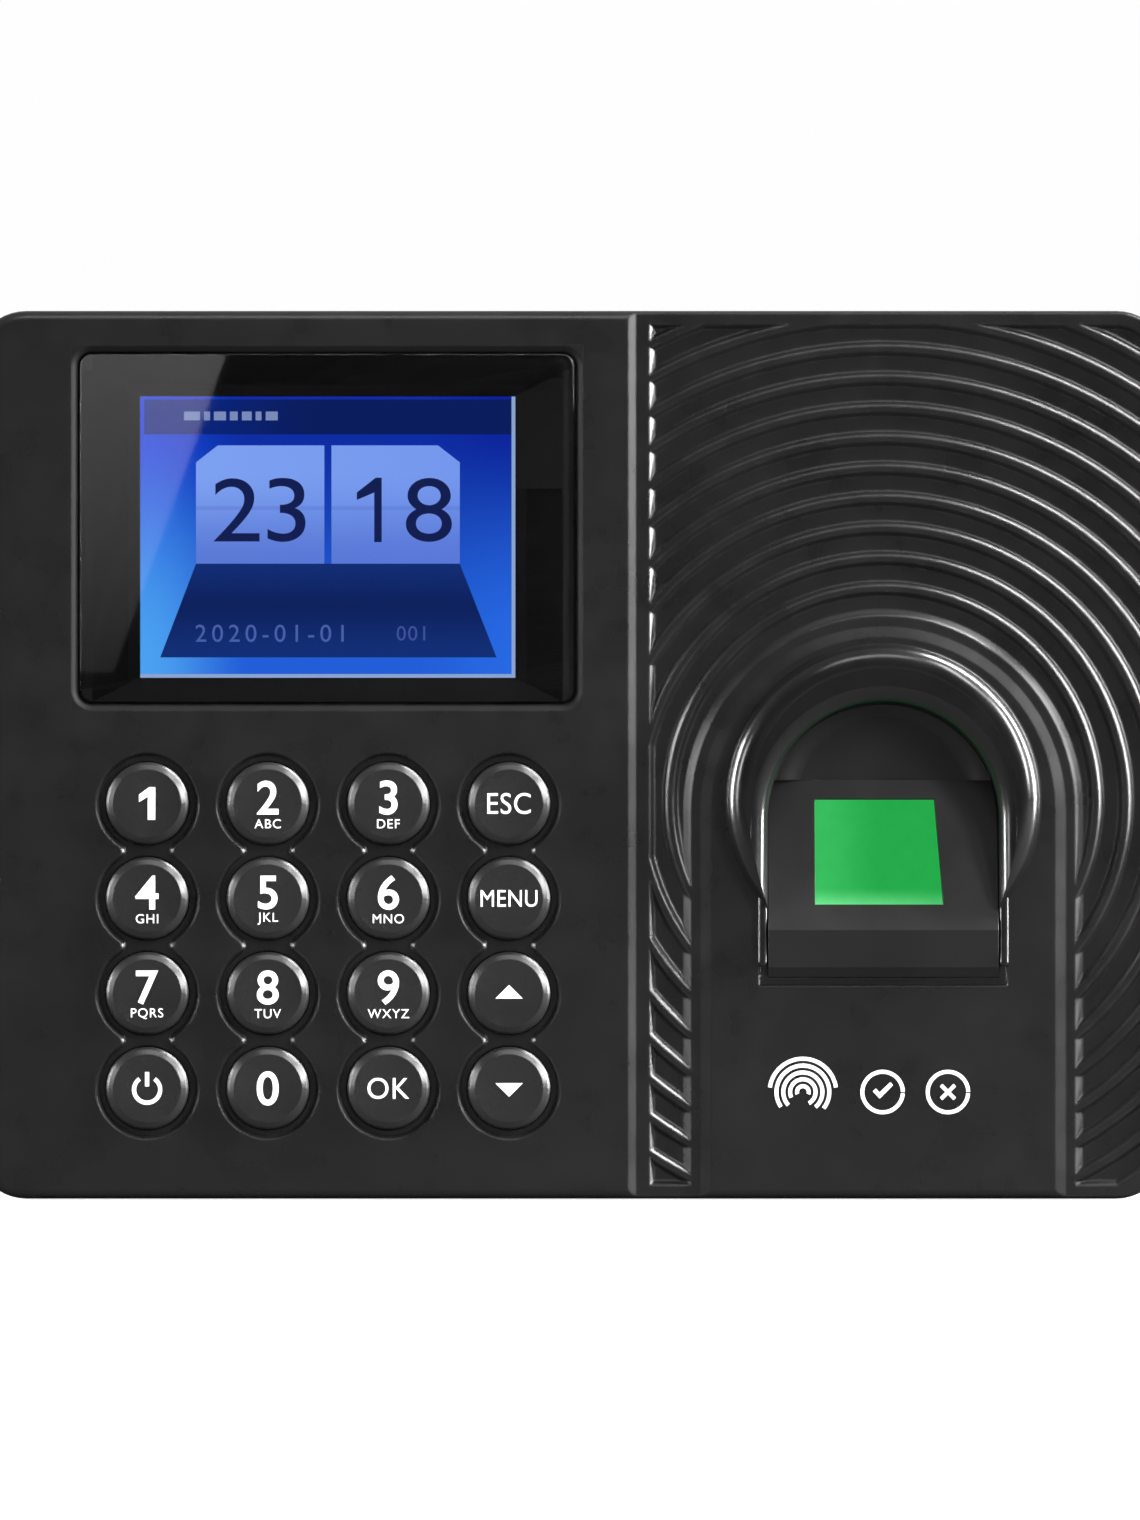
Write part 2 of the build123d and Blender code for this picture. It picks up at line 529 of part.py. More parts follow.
with BuildPart() as arch_collar:
    prism(arch(WELL_R + COLLAR, WELL_DROP, WELL_BOTTOM - COLLAR), PLATE_BACK + 0.2, FACE)
    prism(arch(WELL_R, WELL_DROP, WELL_BOTTOM), PLATE_BACK, FACE + 1, Mode.SUBTRACT)

with BuildPart() as finger_arch:
    with BuildSketch(Plane(origin=(FINGER_X, 0, FINGER_Z), x_dir=(1, 0, 0), z_dir=(0, 0, 1))) as bead:
        with BuildLine():
            crest = (ARCH_CREST_R, -FACE - ARCH_RISE)
            Line((12.0, -FACE), (12.0, -FACE - ARCH_RISE))
            Line((12.0, -FACE - ARCH_RISE), crest)
            ThreePointArc(crest, (ARCH_R - 0.95, -FACE - ARCH_RISE * 0.66), (ARCH_R, -FACE))
            Line((ARCH_R, -FACE), (12.0, -FACE))
        make_face()
    revolve(bead.sketch, axis=Axis((FINGER_X, 0, FINGER_Z), (0, 1, 0)))
    prism(arch(WELL_R, WELL_DROP, WELL_BOTTOM), FACE - 1, FACE + ARCH_RISE + 1, Mode.SUBTRACT)
    add(arch_mouth.part, mode=Mode.SUBTRACT)
    add(arch_collar.part)
    for side in (-1, 1):
        with Locations((FINGER_X + side * (WELL_R + ARCH_LIP_W / 2 + 0.03), 0, FINGER_Z)):
            add(arch_lip.part)
keep("finger_arch", finger_arch.part)

# ---- finger well ---------------------------------------------------------------------------------
# The hollow for the fingertip: a nearly flat floor that curves up all round to meet the arch.
with BuildPart() as cup:
    with BuildSketch(Plane(origin=(FINGER_X, 0, FINGER_Z), x_dir=(1, 0, 0), z_dir=(0, 0, 1))) as bowl:
        with BuildLine():
            Line((0, -CUP_FLOOR), (13.0, -CUP_FLOOR - 1.0))
            ThreePointArc((13.0, -CUP_FLOOR - 1.0), (16.3, -CUP_FLOOR - 2.7), (WELL_R, -FACE - 0.2))
            Line((WELL_R, -FACE - 0.2), (WELL_R + 1, -FACE - 6))
            Line((WELL_R + 1, -FACE - 6), (0, -FACE - 6))
            Line((0, -FACE - 6), (0, -CUP_FLOOR))
        make_face()
    revolve(bowl.sketch, axis=Axis((FINGER_X, 0, FINGER_Z), (0, 1, 0)))
    slab((FINGER_X, FINGER_Z + CUP_Z + 20), (60, 40), 20, FACE + 6, 0.0, Mode.INTERSECT)

EAR_Z = FINGER_Z + WINDOW_Z - (-SENSOR.origin.Y - WELL_BACK) * FALL
SENSOR_SCREWS = [(FINGER_X + side * SENSOR_SCREW_X, EAR_Z) for side in (-1, 1)]


def window_outline(clearance):
    """The sensor window in the sensor plane: a rectangle whose right side leans outward at the bottom."""
    high, left = WINDOW_HALF_H - clearance, WINDOW_LEFT + clearance
    with BuildSketch() as outline:
        Polygon(
            (left, -high),
            (WINDOW_RIGHT_BOTTOM - clearance, -high),
            (WINDOW_RIGHT_TOP - clearance, high),
            (left, high),
            align=None,
        )
    return outline.sketch


with BuildPart() as finger_well:
    prism(arch(WELL_R - 0.1, WELL_DROP, WELL_BOTTOM + 0.1), WELL_BACK, FACE + 4)
    with BuildSketch(Plane.YZ.offset(FINGER_X - WELL_R - 1)) as over_face:
        foot = FINGER_Z + WELL_BOTTOM
        Polygon(
            (-FACE, foot - 1),
            (-FACE, foot),
            (-FACE - 0.75, foot + 1.6),
            (-RAMP_DEPTH, FINGER_Z + RAMP_Z),
            (-CUP_DEPTH, FINGER_Z + CUP_Z),
            (-FACE - 6, FINGER_Z + CUP_Z),
            (-FACE - 6, foot - 1),
            align=None,
        )
    extrude(over_face.sketch, amount=2 * WELL_R + 2, mode=Mode.SUBTRACT)
    add(cup.part, mode=Mode.SUBTRACT)
    slab(WELL_CENTRE, (FLANGE_W, FLANGE_H), FLANGE_FRONT - FLANGE_T, FLANGE_FRONT, 3.0)
    for centre in four(WELL_CENTRE, WELL_BOSS):
        post(centre, 1.2, FLANGE_FRONT - FLANGE_T, FLANGE_FRONT, Mode.SUBTRACT)
    block(SENSOR, (HOUSING_W + 0.4, HOUSING_H + 0.4), -40, -SKIN, Mode.SUBTRACT)
    with BuildSketch(SENSOR.offset(-SKIN - 1)) as window:
        add(window_outline(0.0))
    extrude(window.sketch, amount=SKIN + 3, mode=Mode.SUBTRACT)
    for centre in SENSOR_SCREWS:
        post(centre, 0.85, WELL_BACK, WELL_BACK + 4.3, Mode.SUBTRACT)
keep("finger_well", finger_well.part)

with BuildPart() as well_screws:
    for centre in four(WELL_CENTRE, WELL_BOSS):
        screw(spot(centre, FLANGE_FRONT - FLANGE_T), 0.95, 4.0, 2.0, 1.2)
keep("well_screws", well_screws.part)

with BuildPart() as sensor_prism:
    block(SENSOR, (PRISM_W, PRISM_H), -SKIN - PRISM_T, -SKIN - 0.05)
    with BuildSketch(SENSOR.offset(-SKIN - 0.05)) as window_face:
        add(window_outline(0.08))
    extrude(window_face.sketch, amount=SKIN - 0.1)
keep("sensor_prism", sensor_prism.part)

LEDGE = -SKIN - PRISM_T - 0.05
with BuildPart() as sensor_housing:
    slab((FINGER_X, EAR_Z), (2 * SENSOR_SCREW_X + 6, 10), WELL_BACK - 1.6, WELL_BACK, 2.0)
    block(SENSOR, (HOUSING_W, HOUSING_H), -HOUSING_END, -SKIN)
    block(SENSOR, (PRISM_W + 0.2, PRISM_H + 0.2), LEDGE, -SKIN, Mode.SUBTRACT)
    block(SENSOR, (19.4, 17.0), -HOUSING_END - 2, LEDGE, Mode.SUBTRACT)
    for centre in SENSOR_SCREWS:
        post(centre, 1.0, WELL_BACK - 1.6, WELL_BACK, Mode.SUBTRACT)
    for side in (-1, 1):
        rod(SENSOR, 0.85, -HOUSING_END, -HOUSING_END + 5, Mode.SUBTRACT, (side * 11.6, side * 9.9))
keep("sensor_housing", sensor_housing.part)

with BuildPart() as sensor_light_board:
    block(SENSOR, (18.0, 1.0), -15.5, -10.5, centre=(0, -8.0))
keep("sensor_light_board", sensor_light_board.part)

with BuildPart() as sensor_leds:
    for led in range(4):
        block(SENSOR, (1.6, 0.8), -13.6, -12.0, centre=(-6.0 + 4.0 * led, -7.1))
keep("sensor_leds", sensor_leds.part)

with BuildPart() as sensor_camera:
    block(SENSOR, (9.0, 9.0), -HOUSING_END, -HOUSING_END + 2.2)
    rod(SENSOR, 4.0, -HOUSING_END + 2.2, -11.4)
    rod(SENSOR, 2.4, -12.2, -11.4, Mode.SUBTRACT)
keep("sensor_camera", sensor_camera.part)

SENSOR_BOARD_BACK = -HOUSING_END - 1.2
with BuildPart() as sensor_board:
    block(SENSOR, (30.0, 26.0), SENSOR_BOARD_BACK, -HOUSING_END, radius=1.0)
    for side in (-1, 1):
        rod(SENSOR, 1.0, SENSOR_BOARD_BACK, -HOUSING_END, Mode.SUBTRACT, (side * 11.6, side * 9.9))
keep("sensor_board", sensor_board.part)

with BuildPart() as sensor_screws:
    for centre in SENSOR_SCREWS:
        screw(spot(centre, WELL_BACK - 1.6), 0.8, 5.2, 1.8, 1.1)
    for side in (-1, 1):
        seat = SENSOR.from_local_coords(Vector(side * 11.6, side * 9.9, SENSOR_BOARD_BACK))
        screw(Plane(origin=seat, x_dir=(1, 0, 0), z_dir=SENSOR.z_dir), 0.8, 5.2, 1.8, 1.1)
keep("sensor_screws", sensor_screws.part)

with BuildPart() as sensor_ribbon:
    low = SENSOR.from_local_coords(Vector(0, -8.0, SENSOR_BOARD_BACK - 0.15))
    edge = SENSOR.from_local_coords(Vector(0, -15.0, SENSOR_BOARD_BACK - 0.15))
    socket_edge = SENSOR_SOCKET[1] - 2.5
    folds = ((-low.Y, low.Z), (-edge.Y, edge.Z), (-edge.Y, -37.5), (socket_depth, -37.5), (socket_depth, socket_edge))
    ribbon(SENSOR_SOCKET[0], 10.0, 0.3, 0.8, folds)
keep("sensor_ribbon", sensor_ribbon.part)

# ---- main board ----------------------------------------------------------------------------------
with BuildPart() as main_board:
    slab(MAIN_CENTRE, (MAIN_W, MAIN_H), MAIN_BOARD, MAIN_FRONT, 2.0)
    notch_left, notch_right, notch_top = -12.5, 22.0, POCKET_TOP + 3.0
    slab(
        ((notch_left + notch_right) / 2, notch_top - 10),
        (notch_right - notch_left, 20),
        MAIN_BOARD,
        MAIN_FRONT,
        0.0,
        Mode.SUBTRACT,
    )
    slab((0, notch_top), (9, 6), MAIN_BOARD, MAIN_FRONT, 0.0, Mode.SUBTRACT)
    for centre in four(MAIN_CENTRE, MAIN_BOSS):
        post(centre, 1.5, MAIN_BOARD, MAIN_FRONT, Mode.SUBTRACT)
keep("main_board", main_board.part)

with BuildPart() as board_chips:
    for centre, size, thickness in CHIPS:
        slab(centre, size, MAIN_FRONT, MAIN_FRONT + thickness)
    for centre in CAPACITORS:
        post(centre, 3.0, MAIN_FRONT, MAIN_FRONT + 6.0)
keep("board_chips", board_chips.part)

with BuildPart() as board_connectors:
    slab((FLEX_X, 22.1), (18.0, 5.0), MAIN_FRONT, MAIN_FRONT + CONNECTOR_H)
    slab(KEYPAD_SOCKET, (14.0, 5.0), MAIN_FRONT, MAIN_FRONT + CONNECTOR_H)
    slab(KEYPAD_SOCKET, (14.0, 5.0), KEY_BOARD - CONNECTOR_H, KEY_BOARD)
    slab(SENSOR_SOCKET, (14.0, 5.0), MAIN_FRONT, MAIN_FRONT + CONNECTOR_H)
    slab((-46.5, SPEAKER[1]), (5.0, 7.0), MAIN_FRONT, MAIN_FRONT + 3.6)
    slab(WIRING, (WIRING_W, WIRING_H), WIRING_FACE, MAIN_BOARD)
    slab(WIRING, (WIRING_W - 1.6, WIRING_H - 1.6), WIRING_FACE, MAIN_BOARD - 1.6, 0.0, Mode.SUBTRACT)
    for pin in range(8):
        slab((WIRING[0] - 8.75 + 2.5 * pin, 0), (0.64, 0.64), WIRING_FACE + 0.6, MAIN_BOARD - 1.6)
keep("board_connectors", board_connectors.part)

with BuildPart() as relay:
    slab(RELAY, (19.0, 15.0), MAIN_FRONT, MAIN_FRONT + 15.2, 0.8)
    chamfer(relay.faces().sort_by(Axis.Y)[0].edges(), 0.5)
keep("relay", relay.part)

with BuildPart() as board_screws:
    for centre in four(MAIN_CENTRE, MAIN_BOSS):
        screw(spot(centre, MAIN_FRONT, 1), 0.95, 5.0, 2.4, 1.5)
keep("board_screws", board_screws.part)

with BuildPart() as keypad_ribbon:
    high, low = KEY_BOARD - CONNECTOR_H / 2, KEYPAD_SOCKET[1] - 2.5
    folds = ((high, low), (high, low - 6), (socket_depth, low - 6), (socket_depth, low))
    ribbon(KEYPAD_SOCKET[0], 12.0, 0.3, 1.0, folds)
keep("keypad_ribbon", keypad_ribbon.part)

# The two sockets open downward: these planes look up into them.
USB = Plane(origin=(USB_X, -(MAIN_FRONT + USB_H / 2), 0), x_dir=(1, 0, 0), z_dir=(0, 0, 1))
JACK = Plane(origin=(JACK_X, -JACK_DEPTH, 0), x_dir=(1, 0, 0), z_dir=(0, 0, 1))

with BuildPart() as usb_port:
    block(USB, (USB_W, USB_H), USB_FACE, USB_FACE + USB_L, radius=0.5)
    block(USB, (USB_W - 0.8, USB_H - 0.8), USB_FACE, USB_FACE + USB_L - 1.5, Mode.SUBTRACT, radius=0.2)
keep("usb_port", usb_port.part)

with BuildPart() as usb_tongue:
    block(USB, (11.1, 1.9), USB_FACE + 0.8, USB_FACE + USB_L - 1.5, centre=(0, -1.0))
keep("usb_tongue", usb_tongue.part)

with BuildPart() as power_jack:
    block(JACK, (JACK_W, JACK_H), JACK_FACE, JACK_FACE + JACK_L, radius=0.6)
    rod(JACK, JACK_BORE_R, JACK_FACE, JACK_FACE + 10.0, Mode.SUBTRACT)
keep("power_jack", power_jack.part)

with BuildPart() as power_jack_pin:
    rod(JACK, 0.65, JACK_FACE + 0.8, JACK_FACE + 10.0)
    fillet(power_jack_pin.faces().sort_by(Axis.Z)[0].edges(), 0.4)
keep("power_jack_pin", power_jack_pin.part)

with BuildPart() as coin_cell_holder:
    post(CELL, CELL_R + 1.6, MAIN_FRONT, MAIN_FRONT + 3.8)
    post(CELL, CELL_R + 0.15, MAIN_FRONT + 1.2, MAIN_FRONT + 3.8, Mode.SUBTRACT)
    slab((CELL[0] + 10, CELL[1]), (10, 9), MAIN_FRONT + 1.2, MAIN_FRONT + 3.8, 0.0, Mode.SUBTRACT)
keep("coin_cell_holder", coin_cell_holder.part)

with BuildPart() as coin_cell:
    cell_back = MAIN_FRONT + 1.2
    turned(
        CELL,
        [
            (0, cell_back),
            (CELL_R - 1.5, cell_back),
            (CELL_R - 1.2, cell_back + 0.5),
            (CELL_R, cell_back + 0.6),
            (CELL_R, cell_back + CELL_T - 0.3),
            (CELL_R - 0.3, cell_back + CELL_T),
            (0, cell_back + CELL_T),
        ],
    )
keep("coin_cell", coin_cell.part)

with BuildPart() as speaker:
    cone = FLOOR + 0.1
    turned(
        SPEAKER,
        [
            (0, cone + 2.3),
            (3.0, cone + 2.1),
            (10.4, cone + 0.8),
            (11.4, cone),
            (SPEAKER_R, cone),
            (SPEAKER_R, cone + 1.5),
            (7.2, cone + 3.1),
            (7.2, cone + 5.1),
            (0, cone + 5.1),
        ],
    )
keep("speaker", speaker.part)

with BuildPart() as speaker_cable:
    for wire_z in (SPEAKER[1] - 1.1, SPEAKER[1] + 1.1):
        with BuildLine(Plane.XY.offset(wire_z)) as route:
            near, far = -FLOOR - 4.6, -MAIN_FRONT - 1.8
            FilletPolyline((-60.7, near), (-53.0, near), (-53.0, far), (-49.0, far), radius=1.2)
        with BuildSketch(Plane(origin=route.line @ 0, z_dir=route.line % 0)) as section:
            Circle(0.6)
        sweep(section.sketch, path=route.line)
keep("speaker_cable", speaker_cable.part)

# ---- rear cover ----------------------------------------------------------------------------------
OUTER = (
    (rounded(BACK_WIDTH, BACK_HEIGHT, CORNER_R), BACK),
    (rounded(WIDTH, HEIGHT, CORNER_R), PARTING),
)
INNER_R = CORNER_R - WALL
INNER = (
    (rounded(BACK_WIDTH - 2 * WALL, BACK_HEIGHT - 2 * WALL, INNER_R), FLOOR),
    (rounded(WIDTH - 2 * WALL, HEIGHT - 2 * WALL, INNER_R), PARTING),
)
LIP_W, LIP_L = WIDTH - 2 * WALL - 2 * LIP_GAP, HEIGHT - 2 * WALL - 2 * LIP_GAP
SECURITY = Plane(origin=(0, -TAB_HOLE, 0), x_dir=(1, 0, 0), z_dir=(0, 0, 1))

with BuildPart() as rear_inside:
    # thicker wall behind the bracket and its tongue
    room = 2 * BRACKET_ROOM + 4.4
    slab((0, 0), (BRACKET_W + room, BRACKET_H + room), BACK, RECESS_INNER, 8.0)
    slab((0, -50), (POCKET_W + 4, 40), BACK, RECESS_INNER)
    # box round the pocket for the bracket's bent tab, with a boss over it
    slab((0, POCKET_TOP + 2 - 10), (POCKET_W + 4, 20), BACK, POCKET_END + 2)
    rod(SECURITY, 3.2, POCKET_TOP + 1, POCKET_TOP + 5)
    # posts for the main board and for the case screws, and the speaker's collar
    for centre in four(MAIN_CENTRE, MAIN_BOSS):
        post(centre, 3.0, BACK, MAIN_BOARD)
    for centre in CASE_SCREWS:
        post(centre, 4.2, BACK, PARTING)
    post(SPEAKER, SPEAKER_R + 1.4, BACK, FLOOR + 3)
    post(SPEAKER, SPEAKER_R + 0.2, FLOOR, FLOOR + 3, Mode.SUBTRACT)
    between(*OUTER, Mode.INTERSECT)
    for centre in CASE_SCREWS:
        post(centre, 4.2, PARTING - 1, PARTING + 0.8)

with BuildPart() as rear_cover:
    between(*OUTER)
    between(*INNER, Mode.SUBTRACT)
    slab((0, 0), (LIP_W + 2.4, LIP_L + 2.4), PARTING - 2.5, PARTING, INNER_R + 1)
    slab((0, 0), (LIP_W, LIP_L), PARTING - 2.5, PARTING + LIP_H, INNER_R)
    inner_lip = (LIP_W - 2 * LIP, LIP_L - 2 * LIP)
    slab((0, 0), inner_lip, PARTING - 2.5, PARTING + LIP_H, INNER_R - LIP, Mode.SUBTRACT)
    add(rear_inside.part)

    # recess for the bracket, the slots for its hooks, and the pocket for its bent tab
    recess_size = (BRACKET_W + 2 * BRACKET_ROOM, BRACKET_H + 2 * BRACKET_ROOM)
    slab((0, 0), recess_size, BACK, RECESS, BRACKET_R + BRACKET_ROOM, Mode.SUBTRACT)
    slab((0, -48), (POCKET_W, 20), BACK, RECESS, 0.0, Mode.SUBTRACT)
    for hook_x in (-HOOK_X, HOOK_X):
        for hook_z in HOOK_ZS:
            slot_top, slot_h = hook_z + SHEET + 0.1, SHEET + HOOK_RISE + 0.8
            slot = (hook_x, slot_top - slot_h / 2)
            slab(slot, (HOOK_W + 2, slot_h), RECESS, RECESS_INNER, 0.0, Mode.SUBTRACT)
    slab((0, POCKET_TOP - 10), (POCKET_W, 20), BACK, POCKET_END, 0.0, Mode.SUBTRACT)
    rod(SECURITY, 1.1, POCKET_TOP, POCKET_TOP + 4.4, Mode.SUBTRACT)

    # screw holes, the wiring window, foot pockets and the recess for a rating label
    for centre in CASE_SCREWS:
        post(centre, 1.7, BACK, PARTING + 2, Mode.SUBTRACT)
        post(centre, 3.2, BACK, CASE_SCREW_SEAT, Mode.SUBTRACT)
    for centre in four(MAIN_CENTRE, MAIN_BOSS):
        post(centre, 1.05, MAIN_BOARD - 3.6, MAIN_BOARD, Mode.SUBTRACT)
    slab(WIRING, (WIRING_W + 0.8, WIRING_H + 0.8), RECESS, RECESS_INNER, 0.0, Mode.SUBTRACT)
    for centre in PADS:
        post(centre, 5.2, BACK, BACK + 1.0, Mode.SUBTRACT)
    slab((-28, 51), (56, 14), BACK, BACK + 0.25, 1.5, Mode.SUBTRACT)

    # vents in the back, sound holes behind the speaker and slots in the side next to it
    for side in (-1, 1):
        for slot in range(6):
            slab((side * (62.0 + 4.0 * slot), 22.0), (1.8, 20.0), BACK, FLOOR, 0.88, Mode.SUBTRACT)
    with BuildSketch(at(BACK)) as grille:
        with Locations(SPEAKER):
            Circle(0.9)
            for holes, radius in ((6, 3.6), (12, 7.2)):
                with PolarLocations(radius, holes):
                    Circle(0.9)
    extrude(grille.sketch, amount=FLOOR - BACK, mode=Mode.SUBTRACT)
    for slot in range(6):
        slab((-WIDTH / 2, -38.0 + 4.0 * slot), (9.0, 1.6), 7.0, 14.0, 0.0, Mode.SUBTRACT)

    # openings for the sockets in the bottom wall
    block(USB, (USB_W + 0.4, USB_H + 0.4), -HEIGHT / 2 - 1, -60, Mode.SUBTRACT, radius=0.6)
    rod(JACK, JACK_BORE_R + 0.8, -HEIGHT / 2 - 1, -60, Mode.SUBTRACT)
keep("rear_cover", rear_cover.part)

with BuildPart() as case_screws:
    for centre in CASE_SCREWS:
        screw(spot(centre, CASE_SCREW_SEAT), 1.4, 18.0, 2.8, 2.0)
keep("case_screws", case_screws.part)

# ---- wall bracket --------------------------------------------------------------------------------
with BuildPart() as wall_bracket:
    slab((0, 0), (BRACKET_W, BRACKET_H), 0, SHEET, BRACKET_R)
    slab((0, (TAB_Z - 30) / 2), (TAB_W, -30 - TAB_Z), 0, SHEET)
    slab((0, TAB_Z + SHEET / 2), (TAB_W, SHEET), 0, TAB_END)
    rod(SECURITY, 1.5, TAB_Z, TAB_Z + SHEET, Mode.SUBTRACT)
    slab((0, 0), (44.0, 30.0), 0, SHEET, 3.0, Mode.SUBTRACT)
    for centre in four((0, 0), (WALL_HOLES_X / 2, WALL_HOLES_Z / 2)):
        post(centre, WALL_HOLE_R, 0, SHEET, Mode.SUBTRACT)
    hook_front = RECESS_INNER + HOOK_GAP + SHEET
    for hook_x in (-HOOK_X, HOOK_X):
        for hook_z in HOOK_ZS:
            slab((hook_x, hook_z + SHEET + 4.25), (HOOK_W, 8.5), 0, SHEET, 0.0, Mode.SUBTRACT)
            slab((hook_x, hook_z + SHEET / 2), (HOOK_W, SHEET), 0, hook_front)
            lip_h = SHEET + HOOK_RISE
            slab((hook_x, hook_z + lip_h / 2), (HOOK_W, lip_h), hook_front - SHEET, hook_front)
keep("wall_bracket", wall_bracket.part)

with BuildPart() as security_screw:
    screw(SECURITY.offset(TAB_Z), 1.0, 6.4, 2.8, 1.8)
keep("security_screw", security_screw.part)

with BuildPart() as wall_pads:
    for centre in PADS:
        post(centre, 5.0, 0, BACK + 1.0)
keep("wall_pads", wall_pads.part)

os.makedirs("parts", exist_ok=True)
for name, piece in PARTS.items():
    export_step(piece, f"parts/{name}.step")
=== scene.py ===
"""Looks of the wall-mounted fingerprint terminal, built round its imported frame.

Metres, unless a name or a comment says millimetres; the front faces -Y.
"""

import math

import bpy
import bmesh
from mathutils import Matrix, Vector


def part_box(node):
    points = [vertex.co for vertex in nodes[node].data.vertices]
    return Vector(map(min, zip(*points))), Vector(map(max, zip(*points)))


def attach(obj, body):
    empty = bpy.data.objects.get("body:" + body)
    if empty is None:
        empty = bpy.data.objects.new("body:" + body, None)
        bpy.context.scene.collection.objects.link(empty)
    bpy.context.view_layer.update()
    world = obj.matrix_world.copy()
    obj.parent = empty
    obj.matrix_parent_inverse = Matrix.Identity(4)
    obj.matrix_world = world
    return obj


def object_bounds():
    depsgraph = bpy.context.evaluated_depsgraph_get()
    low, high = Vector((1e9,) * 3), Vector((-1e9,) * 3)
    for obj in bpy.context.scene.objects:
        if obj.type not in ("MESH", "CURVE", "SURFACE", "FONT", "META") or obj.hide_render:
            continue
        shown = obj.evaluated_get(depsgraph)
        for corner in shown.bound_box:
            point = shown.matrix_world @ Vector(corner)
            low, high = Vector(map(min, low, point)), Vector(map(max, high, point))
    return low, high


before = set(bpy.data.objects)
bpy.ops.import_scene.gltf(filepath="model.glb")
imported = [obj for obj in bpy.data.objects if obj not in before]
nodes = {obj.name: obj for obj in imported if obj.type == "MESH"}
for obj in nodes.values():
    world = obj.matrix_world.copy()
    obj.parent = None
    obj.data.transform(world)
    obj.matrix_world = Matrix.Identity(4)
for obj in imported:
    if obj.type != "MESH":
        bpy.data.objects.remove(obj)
cad_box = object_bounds()

MM = 0.001
INK_LIFT = 0.03  # how far printing stands over, and is sunk under, its surface, in millimetres
scene = bpy.context.scene
collection = scene.collection


# ---------------------------------------------------------------- shader helpers
def srgb(red, green, blue):
    """Linear colour of an 8-bit display colour."""
    out = []
    for value in (red, green, blue):
        share = value / 255
        out.append(share / 12.92 if share <= 0.04045 else ((share + 0.055) / 1.055) ** 2.4)
    return (*out, 1.0)


def grey(value):
    return (value, value, value, 1)


def shaded(colour, factor, add=0.0):
    """The colour made lighter or darker, without passing white."""
    return (*(min(1, part * factor + add) for part in colour[:3]), 1)


